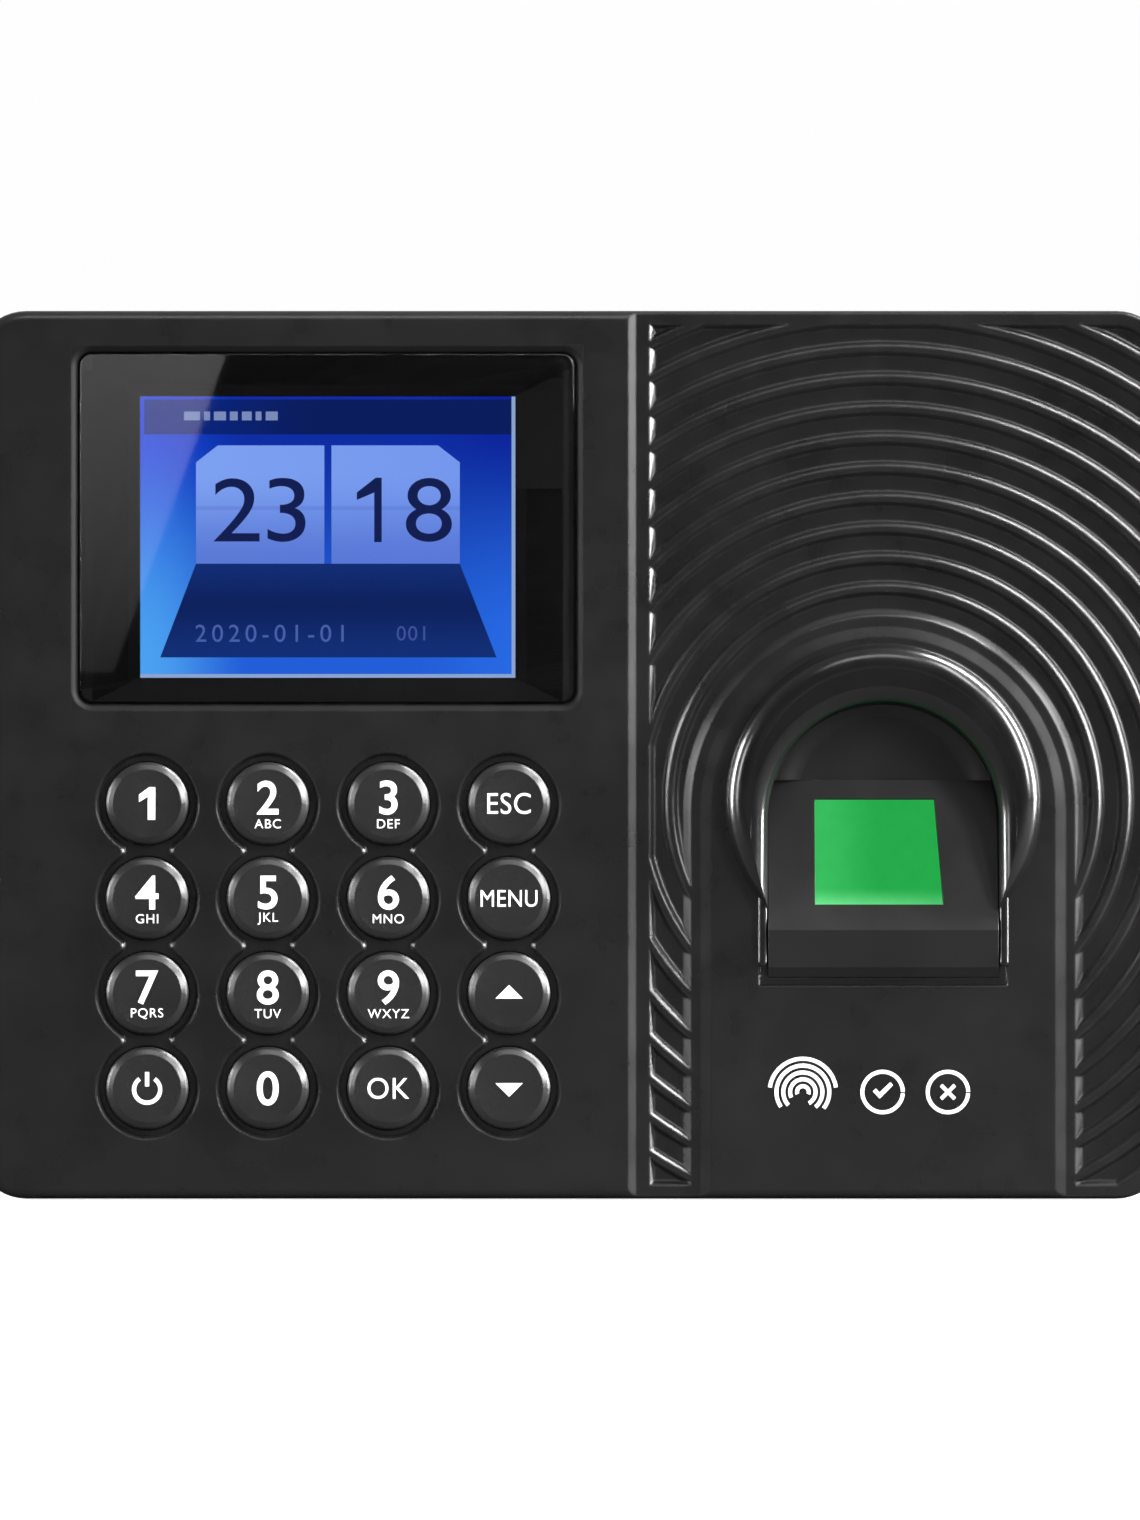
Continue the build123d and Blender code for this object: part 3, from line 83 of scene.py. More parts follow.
class Shader:
    """A material and its node tree, with a short way to add nodes."""

    def __init__(self, name):
        self.material = bpy.data.materials.new(name)
        self.material.use_nodes = True
        self.fill(self.material.node_tree, "ShaderNodeOutputMaterial")

    def fill(self, tree, output_kind):
        self.tree = tree
        self.tree.nodes.clear()
        self.output = self.add(output_kind)
        self.coords = self.add("ShaderNodeTexCoord").outputs["Object"]

    def add(self, kind, inputs=None, **settings):
        node = self.tree.nodes.new(kind)
        for key, value in settings.items():
            setattr(node, key, value)
        for key, value in (inputs or {}).items():
            self.put(node.inputs[key], value)
        return node

    def put(self, socket, value):
        if isinstance(value, bpy.types.NodeSocket):
            self.tree.links.new(value, socket)
        else:
            socket.default_value = value

    def noise(self, size_mm, detail=3.0, roughness=0.55, stretch=(1, 1, 1)):
        """Noise whose features are about that size."""
        mapping = self.add("ShaderNodeMapping", {"Vector": self.coords, "Scale": stretch})
        node = self.add(
            "ShaderNodeTexNoise",
            {"Vector": mapping.outputs[0], "Scale": 1 / (size_mm * MM),
             "Detail": detail, "Roughness": roughness},
        )
        return node.outputs["Fac"]

    def cells(self, size_mm, randomness=1.0):
        """Distance from the nearest of scattered points, about that far apart."""
        node = self.add(
            "ShaderNodeTexVoronoi",
            {"Vector": self.coords, "Scale": 1 / (size_mm * MM), "Randomness": randomness},
        )
        return node.outputs["Distance"]

    def linear(self, value, low, high, out_low=0.0, out_high=1.0, interpolation="LINEAR"):
        node = self.add(
            "ShaderNodeMapRange",
            {"Value": value, "From Min": low, "From Max": high, "To Min": out_low, "To Max": out_high},
            interpolation_type=interpolation,
        )
        return node.outputs[0]

    def ramp(self, value, low, high, out_low=0.0, out_high=1.0):
        """Like linear, with a soft start and end."""
        return self.linear(value, low, high, out_low, out_high, "SMOOTHSTEP")

    def math(self, operation, *values, clamp=False):
        node = self.add("ShaderNodeMath", operation=operation, use_clamp=clamp)
        for socket, value in zip(node.inputs, values):
            self.put(socket, value)
        return node.outputs[0]

    def mix(self, factor, first, second):
        node = self.add("ShaderNodeMix", data_type="RGBA")
        self.put(node.inputs["Factor"], factor)
        self.put(node.inputs[6], first)
        self.put(node.inputs[7], second)
        return node.outputs[2]

    def axes(self):
        return self.add("ShaderNodeSeparateXYZ", {"Vector": self.coords}).outputs

    def outside(self, x, z, half_width, half_height):
        """Distance past the sides of an upright rectangle given in millimetres; it is negative inside."""
        past = []
        for axis, centre, half in ((0, x, half_width), (2, z, half_height)):
            away = self.math("ABSOLUTE", self.math("SUBTRACT", self.axes()[axis], centre * MM))
            past.append(self.math("SUBTRACT", away, half * MM))
        return self.math("MAXIMUM", *past)

    def bevelled(self, radius_mm):
        """The normal, rounded off near edges."""
        node = self.add("ShaderNodeBevel", {"Radius": radius_mm * MM}, samples=4)
        return node.outputs[0]

    def bump(self, height, distance_mm, strength, normal=None):
        inputs = {"Height": height, "Distance": distance_mm * MM, "Strength": strength}
        if normal is not None:
            inputs["Normal"] = normal
        return self.add("ShaderNodeBump", inputs).outputs[0]

    def edge_wear(self, bevel_normal):
        """Near 1 on sharp edges, broken up by noise."""
        geometry = self.add("ShaderNodeNewGeometry").outputs["Normal"]
        dot = self.add("ShaderNodeVectorMath", operation="DOT_PRODUCT")
        self.put(dot.inputs[0], bevel_normal)
        self.put(dot.inputs[1], geometry)
        edge = self.ramp(dot.outputs["Value"], 0.995, 0.90)
        return self.math("MULTIPLY", edge, self.ramp(self.noise(3.0), 0.42, 0.62))

    def principled(self, **inputs):
        node = self.add("ShaderNodeBsdfPrincipled")
        for key, value in inputs.items():
            self.put(node.inputs[key.replace("_", " ")], value)
        return node

    def finish(self, surface):
        self.tree.links.new(surface, self.output.inputs["Surface"])
        return self.material


class WorldShader(Shader):
    """The same for the world."""

    def __init__(self, world):
        self.material = world
        world.use_nodes = True
        self.fill(world.node_tree, "ShaderNodeOutputWorld")


def moulded(name, colour, roughness=0.48, grain_mm=0.28, grain_depth=0.012, mottle=0.12, edge_mm=0.18,
            wear=0.35, specular=0.5, matt=None):
    """Injection-moulded plastic: spark-eroded grain, slow tone and gloss changes, and worn, softened edges.

    matt(shader) may give a mask of where the finish hardly shines."""
    s = Shader(name)
    tone = s.noise(18.0, 2.0)
    fine = s.noise(grain_mm, 2.0)
    speck = s.cells(grain_mm * 1.6)
    bevel = s.bevelled(edge_mm)
    worn = s.math("MULTIPLY", s.edge_wear(bevel), wear)
    base = s.mix(s.ramp(tone, 0.3, 0.7), shaded(colour, 1 - mottle), shaded(colour, 1 + mottle))
    base = s.mix(worn, base, shaded(colour, 2.2, 0.02))
    rough = s.linear(s.noise(6.0, 2.0), 0.3, 0.7, roughness - 0.03, roughness + 0.04)
    rough = s.math("SUBTRACT", rough, s.math("MULTIPLY", worn, 0.12), clamp=True)
    if matt:
        dull = matt(s)
        specular = s.linear(dull, 0.0, 1.0, specular, specular * 0.25)
        rough = s.math("ADD", rough, s.math("MULTIPLY", dull, 0.22), clamp=True)
    height = s.math("ADD", s.math("MULTIPLY", fine, 0.6), s.math("MULTIPLY", speck, 0.4))
    normal = s.bump(height, grain_depth, 0.8, bevel)
    shader = s.principled(Base_Color=base, Roughness=rough, Normal=normal, Specular_IOR_Level=specular)
    return s.finish(shader.outputs[0])


def polished(name, colour, roughness):
    """Glossy plastic with faint flow waviness, dust and hairline scratches."""
    s = Shader(name)
    wavy = s.noise(4.0, 2.0)
    scratches = s.noise(0.6, 2.0, stretch=(0.15, 1.0, 1.6))
    dust = s.ramp(s.cells(1.7), 0.06, 0.02)
    base = s.mix(s.math("MULTIPLY", dust, 0.10), colour, grey(0.25))
    rough = s.linear(scratches, 0.45, 0.75, roughness, roughness + 0.10)
    rough = s.math("ADD", rough, s.math("MULTIPLY", dust, 0.25), clamp=True)
    normal = s.bump(wavy, 0.004, 0.5, s.bevelled(0.15))
    shader = s.principled(
        Base_Color=base, Roughness=rough, Normal=normal, Coat_Weight=0.4, Coat_Roughness=0.04
    )
    return s.finish(shader.outputs[0])


def metal(name, colour, roughness=0.32, brushed=(1, 1, 1), tint=(0.30, 0.27, 0.24, 1)):
    """Plated or brushed metal with a directional grain and faint staining."""
    s = Shader(name)
    streaks = s.noise(0.9, 4.0, stretch=brushed)
    stains = s.ramp(s.noise(9.0, 5.0), 0.52, 0.75)
    base = s.mix(s.math("MULTIPLY", stains, 0.25), colour, tint)
    rough = s.linear(streaks, 0.3, 0.7, roughness - 0.08, roughness + 0.14)
    normal = s.bump(streaks, 0.006, 0.6, s.bevelled(0.12))
    shader = s.principled(Base_Color=base, Metallic=0.95, Roughness=rough, Normal=normal)
    return s.finish(shader.outputs[0])


def circuit_board(name):
    """Solder mask over copper: faint tracks, pads and a woven glass ground."""
    s = Shader(name)
    weave = s.noise(0.5, 1.0, stretch=(1.0, 1.0, 0.25))
    facing = s.add("ShaderNodeMapping", {"Vector": s.coords, "Rotation": (math.radians(90), 0, 0)})
    tracks = s.add(
        "ShaderNodeTexBrick",
        {"Vector": facing.outputs[0], "Scale": 260.0, "Mortar Size": 0.03, "Mortar Smooth": 0.2},
    )
    lines = s.ramp(tracks.outputs["Fac"], 0.2, 0.8)
    pads = s.ramp(s.cells(3.1, 0.25), 0.17, 0.13)
    green = s.mix(s.ramp(weave, 0.3, 0.7), (0.010, 0.085, 0.032, 1), (0.014, 0.110, 0.042, 1))
    green = s.mix(s.math("MULTIPLY", lines, 0.5), green, (0.03, 0.19, 0.08, 1))
    base = s.mix(pads, green, (0.62, 0.55, 0.38, 1))
    normal = s.bump(s.math("ADD", lines, pads), 0.02, 0.5)
    shiny = s.math("MULTIPLY", pads, 0.8)
    shader = s.principled(Base_Color=base, Roughness=0.30, Metallic=shiny, Normal=normal)
    return s.finish(shader.outputs[0])


def soft(name, colour, roughness, grain_mm=0.5):
    """Rubber, foam or silicone: dull, slightly dusty."""
    s = Shader(name)
    dust = s.ramp(s.noise(4.0, 5.0), 0.45, 0.8)
    base = s.mix(s.math("MULTIPLY", dust, 0.25), colour, shaded(colour, 1, 0.10))
    normal = s.bump(s.noise(grain_mm, 3.0), 0.03, 0.6)
    rough = s.linear(dust, 0.0, 1.0, roughness, min(1.0, roughness + 0.2))
    shader = s.principled(Base_Color=base, Roughness=rough, Normal=normal, Specular_IOR_Level=0.35)
    return s.finish(shader.outputs[0])


def ink(name, colour, roughness, glow=0.0):
    """Screen-printed ink, a little uneven in density; glow gives it a painted glow, light of its own though
    it is no lamp.
    """
    s = Shader(name)
    patchy = s.linear(s.noise(0.35, 3.0), 0.3, 0.7, 0.86, 1.0)
    base = s.mix(patchy, shaded(colour, 0.6), colour)
    normal = s.bump(s.noise(0.15, 2.0), 0.004, 0.5)
    # the emission is painted light: it makes the ink look brighter than the lamps light it
    shader = s.principled(
        Base_Color=base, Roughness=roughness, Normal=normal, Emission_Color=colour, Emission_Strength=glow
    )
    return s.finish(shader.outputs[0])


def lit(name, picture, strength=1.0):
    """A light-emitting surface under a faint sheen; picture(shader) gives its colour."""
    s = Shader(name)
    shader = s.principled(
        Base_Color=(0.001, 0.001, 0.0012, 1), Roughness=0.25, Specular_IOR_Level=0.05,
        Emission_Color=picture(s), Emission_Strength=strength,
    )
    return s.finish(shader.outputs[0])


def flat(colour):
    """The same colour everywhere, with the faint dither of a pixel grid."""
    def maker(s):
        dots = s.linear(s.cells(0.18, 0.0), 0.0, 0.7, 1.0, 0.9)
        return s.mix(dots, (0, 0, 0, 1), colour)
    return maker


# ---------------------------------------------------------------- mesh helpers
def link(name, mesh, material, body="terminal"):
    """Adds a piece that rides on that body."""
    obj = bpy.data.objects.new(name, mesh)
    collection.objects.link(obj)
    mesh.materials.clear()
    mesh.materials.append(material)
    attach(obj, body)
    return obj


def thick(name, faces, step):
    """A mesh of closed plates: each face is a list of corners, and step is the way it is thickened."""
    bm = bmesh.new()
    for corners in faces:
        grown = bmesh.ops.extrude_face_region(bm, geom=[bm.faces.new([bm.verts.new(c) for c in corners])])
        far = [v for v in grown["geom"] if isinstance(v, bmesh.types.BMVert)]
        bmesh.ops.translate(bm, verts=far, vec=step)
    bmesh.ops.recalc_face_normals(bm, faces=bm.faces)
    mesh = bpy.data.meshes.new(name)
    bm.to_mesh(mesh)
    bm.free()
    return mesh


def raised(name, outlines, depth, thickness, material):
    """Flat shapes standing from that depth, given as lists of (x, z) corners in millimetres."""
    faces = [[(x * MM, -depth * MM, z * MM) for x, z in outline] for outline in outlines]
    return link(name, thick(name, faces, (0, -thickness * MM, 0)), material)


def glyphs(text, size, offset=0.0, spacing=1.0):
    """A closed mesh of upright lettering centred on the origin, in millimetres; it faces +Z."""
    curve = bpy.data.curves.new("lettering", "FONT")
    curve.body = text
    curve.size = size
    curve.align_x = "CENTER"
    curve.offset = offset
    curve.space_character = spacing
    curve.extrude = INK_LIFT
    curve.resolution_u = 8
    obj = bpy.data.objects.new("lettering", curve)
    collection.objects.link(obj)
    bpy.context.view_layer.update()
    mesh = bpy.data.meshes.new_from_object(obj.evaluated_get(bpy.context.evaluated_depsgraph_get()))
    bpy.data.objects.remove(obj)
    bpy.data.curves.remove(curve)
    ys = [v.co.y for v in mesh.vertices]
    xs = [v.co.x for v in mesh.vertices]
    shift = Vector((-(min(xs) + max(xs)) / 2, -(min(ys) + max(ys)) / 2, 0))
    for vertex in mesh.vertices:
        vertex.co += shift
    return mesh


def figure_one(height):
    """An upright figure one with its flag, as a closed mesh like glyphs()."""
    stroke = 1.15
    top, half = height / 2, stroke / 2
    flag = height * 0.27
    outline = [
        (half, -top), (half, top), (half - stroke * 0.8, top), (-half - flag, top - flag * 0.85),
        (-half - flag, top - flag * 0.85 - stroke), (-half, top - flag * 0.62 - stroke * 0.55), (-half, -top),
    ]
    face = [(px + flag / 2, pz, -INK_LIFT) for px, pz in outline]
    return thick("figure", [face], (0, 0, 2 * INK_LIFT))


def place(mesh, x, z, surface, lift=INK_LIFT, sink=INK_LIFT, widen=1.0):
    """Stands lettering on the front, its face just over the depth surface(dx, dz), its back just under."""
    for vertex in mesh.vertices:
        px, pz, front = vertex.co.x * widen, vertex.co.y, vertex.co.z > 0
        depth = surface(px, pz) + (lift if front else -sink)
        vertex.co = Vector(((x + px) * MM, -depth * MM, (z + pz) * MM))
    return mesh


def merged(meshes, name):
    """The meshes as one, with corners that meet made one."""
    bm = bmesh.new()
    for mesh in meshes:
        bm.from_mesh(mesh)
        bpy.data.meshes.remove(mesh)
    bmesh.ops.remove_doubles(bm, verts=bm.verts, dist=1e-7)
    bmesh.ops.recalc_face_normals(bm, faces=bm.faces)
    out = bpy.data.meshes.new(name)
    bm.to_mesh(out)
    bm.free()
    return out


def centre_mm(node):
    """Middle of a node in the front view."""
    low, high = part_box(node)
    return (low.x + high.x) / 2 / MM, (low.z + high.z) / 2 / MM


def front_mm(node):
    """Depth of a node's front."""
    return -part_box(node)[0].y / MM


# ---------------------------------------------------------------- materials of the CAD nodes
def dull_parts(s):
    """1 on the bevelled rim of the display lens and on the outer walls, which are left matt."""
    low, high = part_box("display_lens")
    half_width, half_height = (high.x - low.x) / 2 / MM, (high.z - low.z) / 2 / MM
    rim = s.ramp(s.outside(*centre_mm("display_lens"), half_width, half_height), 1.3 * MM, 1.0 * MM)
    normal = s.add("ShaderNodeNewGeometry").outputs["Normal"]
    facing = s.add("ShaderNodeSeparateXYZ", {"Vector": normal}).outputs["Y"]
    wall = s.ramp(s.math("ABSOLUTE", facing), 0.5, 0.3)
    return s.math("MAXIMUM", rim, wall)


front_plastic = moulded("front_plastic", (0.0050, 0.0048, 0.0048, 1), roughness=0.29, grain_mm=0.30,
                        grain_depth=0.005, edge_mm=0.5, matt=dull_parts)
rear_plastic = moulded("rear_plastic", (0.010, 0.010, 0.0103, 1), roughness=0.58, grain_mm=0.45,
                       grain_depth=0.04, specular=0.32)
key_plastic = moulded("key_plastic", (0.010, 0.010, 0.0103, 1), roughness=0.26, grain_mm=0.22,
                      grain_depth=0.006, edge_mm=0.3, wear=0.5)
well_plastic = moulded("well_plastic", (0.0060, 0.0056, 0.0056, 1), roughness=0.42, grain_depth=0.008,
                        specular=0.30)
arch_plastic = moulded("arch_plastic", (0.004, 0.004, 0.0043, 1), roughness=0.20, grain_mm=0.2,
                       grain_depth=0.002, wear=0.2)
dark_plastic = moulded("dark_plastic", (0.015, 0.015, 0.016, 1), roughness=0.5)
steel = metal("steel", (0.60, 0.60, 0.61, 1), brushed=(0.2, 1, 1))
black_steel = metal("black_steel", (0.045, 0.045, 0.05, 1), roughness=0.38, tint=(0.10, 0.08, 0.07, 1))
zinc = metal("zinc", (0.62, 0.63, 0.62, 1), roughness=0.36, brushed=(1, 1, 0.12))
board_material = circuit_board("board_material")
cream = moulded("cream", (0.72, 0.68, 0.58, 1), roughness=0.42, mottle=0.04)
white_plastic = moulded("white_plastic", (0.78, 0.78, 0.76, 1), roughness=0.4, mottle=0.03)
rubber = soft("rubber", (0.020, 0.020, 0.021, 1), 0.75)
silicone = soft("silicone", (0.36, 0.37, 0.38, 1), 0.55)
foam = soft("foam", (0.018, 0.018, 0.018, 1), 0.9, 0.35)
film = polished("film", (0.42, 0.20, 0.045, 1), roughness=0.22)
chip = moulded("chip", (0.018, 0.018, 0.020, 1), roughness=0.55, grain_mm=0.15)
relay_case = polished("relay_case", (0.02, 0.06, 0.26, 1), roughness=0.22)
red_wire = soft("red_wire", (0.45, 0.02, 0.02, 1), 0.45)
led_case = polished("led_case", (0.70, 0.95, 0.70, 1), roughness=0.2)


def smoked_lens():
    """Clear tinted acrylic: mostly see-through, with a crisp reflection and faint wipe marks."""
    s = Shader("smoked_lens")
    smears = s.ramp(s.noise(14.0, 6.0, stretch=(1, 1, 0.35)), 0.5, 0.8)
    rough = s.linear(smears, 0, 1, 0.015, 0.05)
    gloss = s.add("ShaderNodeBsdfGlossy", {"Color": (1, 1, 1, 1), "Roughness": rough,
                                           "Normal": s.bevelled(0.15)})
    see = s.add("ShaderNodeBsdfTransparent", {"Color": (0.86, 0.86, 0.87, 1)})
    fresnel = s.add("ShaderNodeFresnel", {"IOR": 1.49}).outputs[0]
    lifted = s.math("ADD", fresnel, s.math("MULTIPLY", smears, 0.006), clamp=True)
    both = s.add("ShaderNodeMixShader", {0: lifted, 1: see.outputs[0], 2: gloss.outputs[0]})
    return s.finish(both.outputs[0])


def green_window():
    """The optical block, lit from below: even green, brighter along its foot and towards the left."""
    s = Shader("green_window")
    x, _, z = s.axes()
    cx, cz = centre_mm("sensor_prism")
    rightward = s.linear(x, (cx - 10) * MM, (cx + 8) * MM)
    foot = s.ramp(z, (cz - 4.0) * MM, (cz - 8.0) * MM)
    side = s.ramp(rightward, 0.55, 0.0)
    glow = s.mix(s.math("MULTIPLY", side, 0.55), srgb(31, 165, 70), srgb(66, 198, 104))
    foot_share = s.math("MULTIPLY", foot, s.linear(rightward, 0.0, 1.0, 0.95, 0.45))
    glow = s.mix(foot_share, glow, srgb(125, 246, 158))
    haze = s.linear(s.noise(2.2, 4.0), 0.3, 0.7, 0.96, 1.04)
    shader = s.principled(
        Base_Color=(0.002, 0.012, 0.004, 1), Roughness=0.16, Specular_IOR_Level=0.3, Emission_Color=glow,
        Emission_Strength=haze, Normal=s.bump(s.noise(1.5, 3.0), 0.003, 0.4, s.bevelled(0.15)),
    )
    return s.finish(shader.outputs[0])


lens_material = smoked_lens()
window_material = green_window()
black_print = ink("black_print", (0.016, 0.0155, 0.0155, 1), 0.40)
MATERIALS = {
    "front_cover": front_plastic, "rear_cover": rear_plastic, "display_lens": lens_material,
    "lens_adhesive": black_print, "lcd_gasket": foam, "lcd_frame": steel, "lcd_panel": dark_plastic,
    "lcd_backlight": white_plastic, "lcd_retainer": dark_plastic, "lcd_screws": steel, "lcd_flex": film,
    "keypad_mat": silicone, "keypad_board": board_material, "keypad_ribbon": film, "keypad_screws": steel,
    "finger_arch": arch_plastic, "finger_well": well_plastic, "well_screws": steel,
    "sensor_prism": window_material, "sensor_housing": dark_plastic, "sensor_light_board": board_material,
    "sensor_leds": led_case, "sensor_camera": dark_plastic, "sensor_board": board_material,
    "sensor_ribbon": film, "sensor_screws": steel, "main_board": board_material, "board_chips": chip,
    "board_connectors": cream, "relay": relay_case, "board_screws": steel, "usb_port": steel,
    "usb_tongue": white_plastic, "power_jack": dark_plastic, "power_jack_pin": steel, "coin_cell": steel,
    "coin_cell_holder": dark_plastic, "speaker": dark_plastic, "speaker_cable": red_wire,
    "case_screws": black_steel, "wall_bracket": zinc, "security_screw": black_steel, "wall_pads": rubber,
}
for name, node in nodes.items():
    node.data.materials.clear()
    node.data.materials.append(key_plastic if name.startswith("key_") else MATERIALS[name])

# ---------------------------------------------------------------- key legends
# the key legends' ink gets a painted glow (0.10), so the white letters look brighter than the lamps make them
legend_ink = ink("legend_ink", (0.86, 0.86, 0.85, 1), 0.4, glow=0.10)
KEY_RIM_R, DISH = 5.2, 0.2
DISH_R = (KEY_RIM_R**2 + DISH**2) / (2 * DISH)
LETTERS = {"2": "ABC", "3": "DEF", "4": "GHI", "5": "JKL", "6": "MNO", "7": "PQRS", "8": "TUV", "9": "WXYZ"}
WORDS = {"esc": (4.6, 0.90), "menu": (3.7, 0.86), "ok": (4.6, 0.95)}  # lettering size and width
DIGIT_RISE, LETTERS_DROP = 0.9, 3.1  # off the key's middle, where a key carries both


def key_top(key):
    """The depth of a key's dished face at (dx, dz) from its middle."""
    rim = front_mm(key)

    def surface(dx, dz):
        return rim - DISH + DISH_R - math.sqrt(DISH_R**2 - dx * dx - dz * dz)
    return surface


def ring_outline(radius, half_width, start, end, steps=28):
    """An arc band as one closed outline, angles in degrees."""
    angles = [math.radians(start + (end - start) * i / steps) for i in range(steps + 1)]
    outer, inner = radius + half_width, radius - half_width
    out = [(outer * math.cos(a), outer * math.sin(a)) for a in angles]
    back = [(inner * math.cos(a), inner * math.sin(a)) for a in reversed(angles)]
    return out + back


def printed(name, outlines, x, z, surface, body, material, lift=INK_LIFT):
    """Closed printed shapes that follow a surface, from outlines round (x, z)."""
    faces = [[(px, pz, -1) for px, pz in outline] for outline in outlines]
    return link(name, place(thick(name, faces, (0, 0, 2)), x, z, surface, lift), material, body)


for key in [n for n in nodes if n.startswith("key_")]:
    label = key[4:]
    x, z = centre_mm(key)
    top = key_top(key)
    if label.isdigit():
        rise = DIGIT_RISE if label in LETTERS else 0.0
        figure = figure_one(5.0) if label == "1" else glyphs(label, 7.2, 0.10)
        parts = [place(figure, x, z + rise, lambda dx, dz: top(dx, dz + rise))]
        if label in LETTERS:
            row = glyphs(LETTERS[label], 2.0, spacing=1.12)
            parts.append(place(row, x, z - LETTERS_DROP, lambda dx, dz: top(dx, dz - LETTERS_DROP)))
        link(f"legend_{label}", merged(parts, f"legend_{label}"), legend_ink, key)
    elif label in WORDS:
        size, widen = WORDS[label]
        mesh = place(glyphs(label.upper(), size, spacing=1.06), x, z, top, widen=widen)
        link(f"legend_{label}", merged([mesh], f"legend_{label}"), legend_ink, key)
    elif label in ("up", "down"):
        sign = 1 if label == "up" else -1
        arrow = [(-2.1, -0.8 * sign), (0, 1.3 * sign), (2.1, -0.8 * sign)]
        printed(f"legend_{label}", [arrow if sign < 0 else arrow[::-1]], x, z, top, key, legend_ink)
    else:
        ring = ring_outline(2.0, 0.32, 125, 415)
        bar = [(-0.32, 0.5), (0.32, 0.5), (0.32, 2.7), (-0.32, 2.7)]
        printed("legend_power", [ring, bar], x, z - 0.2, top, key, legend_ink)

# ---------------------------------------------------------------- display picture
# its places are in millimetres to the right of and down from the picture's top left
ACTIVE_W, ACTIVE_H = 57.6, 43.2
lcd_x, lcd_z = centre_mm("lcd_panel")
GLASS = front_mm("lcd_panel")
TINT = 1 / 0.80  # the picture is that much brighter than it looks through the lens
BAR_TOP, BAR_FOOT = 0.45, 5.8
MARKS_TOP, MARKS_FOOT = 2.3, 3.65
TILES_LEFT, TILES_RIGHT, TILES_TOP = 8.55, 49.05, 7.5
HOURS_RIGHT, MINUTES_LEFT = 28.25, 29.35
CUT_W, CUT_H = 3.35, 2.6  # the tiles' slanted outer corners
STAND_TOP, STAND_FOOT = 25.65, 40.05
STAND_LEFT, STAND_RIGHT = 3.05, 54.7  # the ends of its foot
FIGURES_DOWN, SMALL_PRINT_DOWN = 17.4, 36.35
EDGE = 0.6  # the pale line along the foot and the right side


def on_screen(u, v):
    """Where in the front view a place of the picture is, u to the right and v down."""
    return lcd_x - ACTIVE_W / 2 + u, lcd_z + ACTIVE_H / 2 - v


def across(s, start, end):
    """0 at u = start to 1 at u = end."""
    return s.linear(s.axes()[0], on_screen(start, 0)[0] * MM, on_screen(end, 0)[0] * MM)


def upward(s, start, end):
    """0 at v = start to 1 at v = end."""
    return s.linear(s.axes()[2], on_screen(0, start)[1] * MM, on_screen(0, end)[1] * MM)


def shapes_on_screen(name, outlines, depth, material):
    """Flat pieces of the picture, from outlines of (u, v)."""
    outlines = [[on_screen(u, v) for u, v in outline] for outline in outlines]
    return raised(name, outlines, GLASS + depth, 0.02, material)


def panel(name, corners, layer, picture):
    """A lit area of the picture; picture(shader) colours it, and layers lie one over the other."""
    return shapes_on_screen(name, [corners], 0.02 + layer * 0.03, lit(name, picture, TINT))


def backdrop(s):
    u, v = across(s, 0, ACTIVE_W), upward(s, ACTIVE_H, 0)
    left_edge = s.mix(s.ramp(v, 0.05, 0.95), srgb(80, 172, 255), srgb(0, 66, 225))
    right_edge = s.mix(s.ramp(v, 0.05, 0.95), srgb(40, 112, 240), srgb(4, 32, 160))
    middle = s.mix(s.ramp(v, 0.1, 0.9), srgb(34, 100, 228), srgb(8, 46, 172))
    glow = s.mix(s.ramp(u, 0.30, 0.0), middle, left_edge)
    return s.mix(s.ramp(u, 0.72, 1.0), glow, right_edge)


def dark_bar(s):
    return s.mix(s.ramp(across(s, 0, ACTIVE_W), 0.0, 0.5), srgb(2, 40, 140), srgb(4, 28, 98))


def stand(s):
    off_middle = s.math("ABSOLUTE", s.math("SUBTRACT", upward(s, STAND_FOOT, STAND_TOP), 0.55))
    return s.mix(s.ramp(off_middle, 0.0, 0.5), srgb(8, 34, 100), srgb(16, 48, 124))


def tile(s):
    u, v = across(s, TILES_LEFT, TILES_RIGHT), upward(s, STAND_TOP, TILES_TOP)
    split = s.ramp(s.math("ABSOLUTE", s.math("SUBTRACT", v, 0.47)), 0.012, 0.02, 0.72, 1.0)
    shade = s.mix(s.ramp(v, 0.0, 0.8), srgb(97, 130, 226), srgb(134, 172, 255))
    shade = s.mix(s.math("MULTIPLY", u, 0.25), shade, srgb(90, 125, 240))
    return s.mix(split, srgb(80, 106, 205), shade)


panel("screen_backdrop", [(0, 0), (ACTIVE_W, 0), (ACTIVE_W, ACTIVE_H), (0, ACTIVE_H)], 0, backdrop)
side, foot = ACTIVE_W - EDGE, ACTIVE_H - EDGE
panel("screen_bar", [(EDGE, BAR_TOP), (side, BAR_TOP), (side, BAR_FOOT), (EDGE, BAR_FOOT)], 1, dark_bar)
trapezium = [(TILES_LEFT, STAND_TOP), (TILES_RIGHT, STAND_TOP),
             (STAND_RIGHT, STAND_FOOT), (STAND_LEFT, STAND_FOOT)]
panel("screen_stand", trapezium, 1, stand)
hours = [(TILES_LEFT, STAND_TOP), (HOURS_RIGHT, STAND_TOP), (HOURS_RIGHT, TILES_TOP),
         (TILES_LEFT + CUT_W, TILES_TOP), (TILES_LEFT, TILES_TOP + CUT_H)]
panel("screen_tile_hours", hours, 2, tile)
minutes = [(MINUTES_LEFT, STAND_TOP), (TILES_RIGHT, STAND_TOP), (TILES_RIGHT, TILES_TOP + CUT_H),
           (TILES_RIGHT - CUT_W, TILES_TOP), (MINUTES_LEFT, TILES_TOP)]
panel("screen_tile_minutes", minutes, 2, tile)
digit_navy = lit("digit_navy", flat(srgb(18, 32, 88)), TINT)
